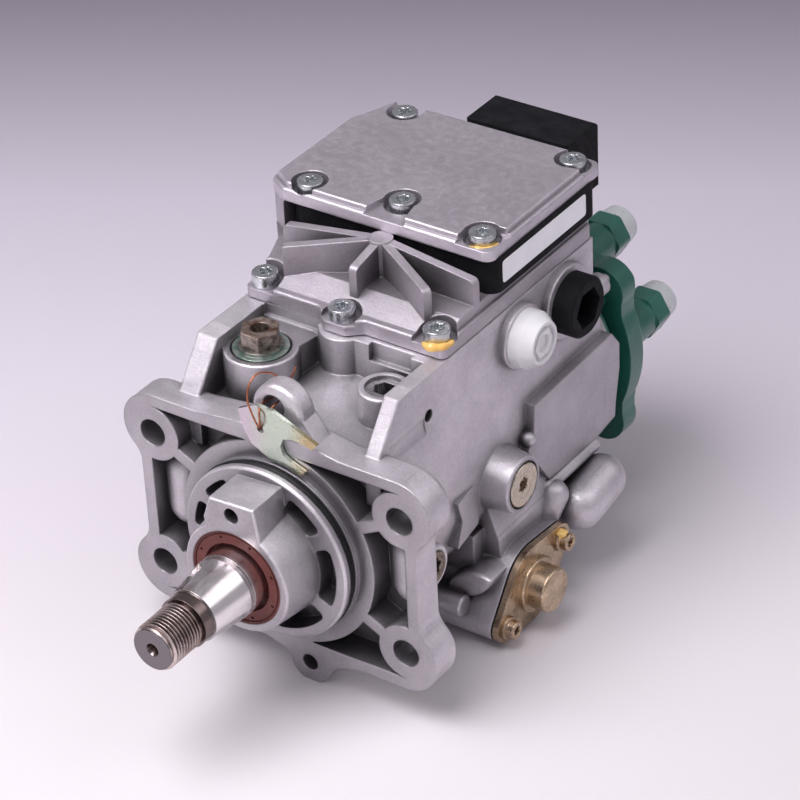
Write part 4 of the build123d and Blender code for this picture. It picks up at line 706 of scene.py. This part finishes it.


# Floor: pale under the pump and darker towards the back, a painted shade that stands for light falling off with
# distance

FLOOR_STOPS = [(0.0, (0.67, 0.64, 0.665)), (0.35, (0.63, 0.59, 0.655)), (0.62, (0.56, 0.52, 0.60)),
               (1.0, (0.27, 0.24, 0.29))]
FLOOR_WAY = (-0.587, 0.810)
FLOOR_NEAR, FLOOR_FAR = -0.07, 0.56
FLOOR_SIZE = 6.0
# The pump rests on its flange and its timing case, as (y, depth below the shaft)
FLANGE_REST, CASE_REST = (7.0, 57.9), (77.0, 62.8)
FLOOR_GAP = 0.05


def floor_material():
    m = Mat("pale_floor", (0.8, 0.78, 0.8), 0.0, 0.75)
    along = m.plus(m.times(m.axis("X"), FLOOR_WAY[0]), m.times(m.axis("Y"), FLOOR_WAY[1]))
    ramp = m.fill(m.tree.nodes.new("ShaderNodeValToRGB"), {"Fac": m.span(along, FLOOR_NEAR, FLOOR_FAR)})
    stops = ramp.color_ramp.elements
    for stop, (place, color) in zip(stops, (FLOOR_STOPS[0], FLOOR_STOPS[-1])):
        stop.position = place
        stop.color = rgba(color)
    for place, color in FLOOR_STOPS[1:-1]:
        stops.new(place).color = rgba(color)
    return m.put("Base Color", ramp.outputs["Color"]).done()


def floor_piece():
    bm = bmesh.new()
    bmesh.ops.create_grid(bm, x_segments=1, y_segments=1, size=FLOOR_SIZE)
    obj = to_object("floor", bm, floor_material())
    lean = math.atan2(CASE_REST[1] - FLANGE_REST[1], CASE_REST[0] - FLANGE_REST[0])
    place = Matrix.Translation((0, CASE_REST[0] * MM, -(CASE_REST[1] + FLOOR_GAP) * MM))
    obj.matrix_world = place @ Matrix.Rotation(-lean, 4, "X")


floor_piece()


# Light: four soft boxes and an even studio world

LAMP_TINT, FRONT_TINT = (1.0, 0.97, 1.0), (1.0, 0.98, 1.0)


def softbox(name, location, target, size_x, size_y, power, color):
    light = bpy.data.lights.new(name, "AREA")
    light.shape = "RECTANGLE"
    light.size = size_x
    light.size_y = size_y
    light.energy = power
    light.color = color
    obj = add_object(name, light)
    obj.matrix_world = stand(location, Vector(location) - Vector(target))


softbox("key", (-0.18, -0.34, 0.92), (0, 0, 0), 0.8, 0.8, 11.8, LAMP_TINT)
softbox("near", (-0.06, -0.16, 0.44), (0, -0.02, 0.02), 0.22, 0.22, 0.42, LAMP_TINT)
softbox("side", (1.0, 0.6, 1.2), (0.1, 0.12, 0), 1.2, 1.2, 5.2, LAMP_TINT)
softbox("front", (0.2, -1.5, 0.75), (0, 0, 0), 1.0, 0.6, 1.5, FRONT_TINT)

WORLD_COLOR = (0.82, 0.78, 0.85)
WORLD_WAY = (-0.55, 0.75, 0.36)
WORLD_RAMP = {"From Min": -0.3, "From Max": 0.9, "To Min": 0.48, "To Max": 0.32}


def world_light():
    """Even light that falls off towards the dark end of the backdrop."""
    world = bpy.data.worlds.new("studio")
    bpy.context.scene.world = world
    world.use_nodes = True
    tree = world.node_tree
    coord = tree.nodes.new("ShaderNodeTexCoord")
    way = tree.nodes.new("ShaderNodeVectorMath")
    way.operation = "DOT_PRODUCT"
    way.inputs[1].default_value = WORLD_WAY
    tree.links.new(coord.outputs["Generated"], way.inputs[0])
    ramp = tree.nodes.new("ShaderNodeMapRange")
    for key, value in WORLD_RAMP.items():
        ramp.inputs[key].default_value = value
    tree.links.new(way.outputs["Value"], ramp.inputs["Value"])
    light = tree.nodes["Background"]
    light.inputs["Color"].default_value = rgba(WORLD_COLOR)
    tree.links.new(ramp.outputs["Result"], light.inputs["Strength"])


world_light()
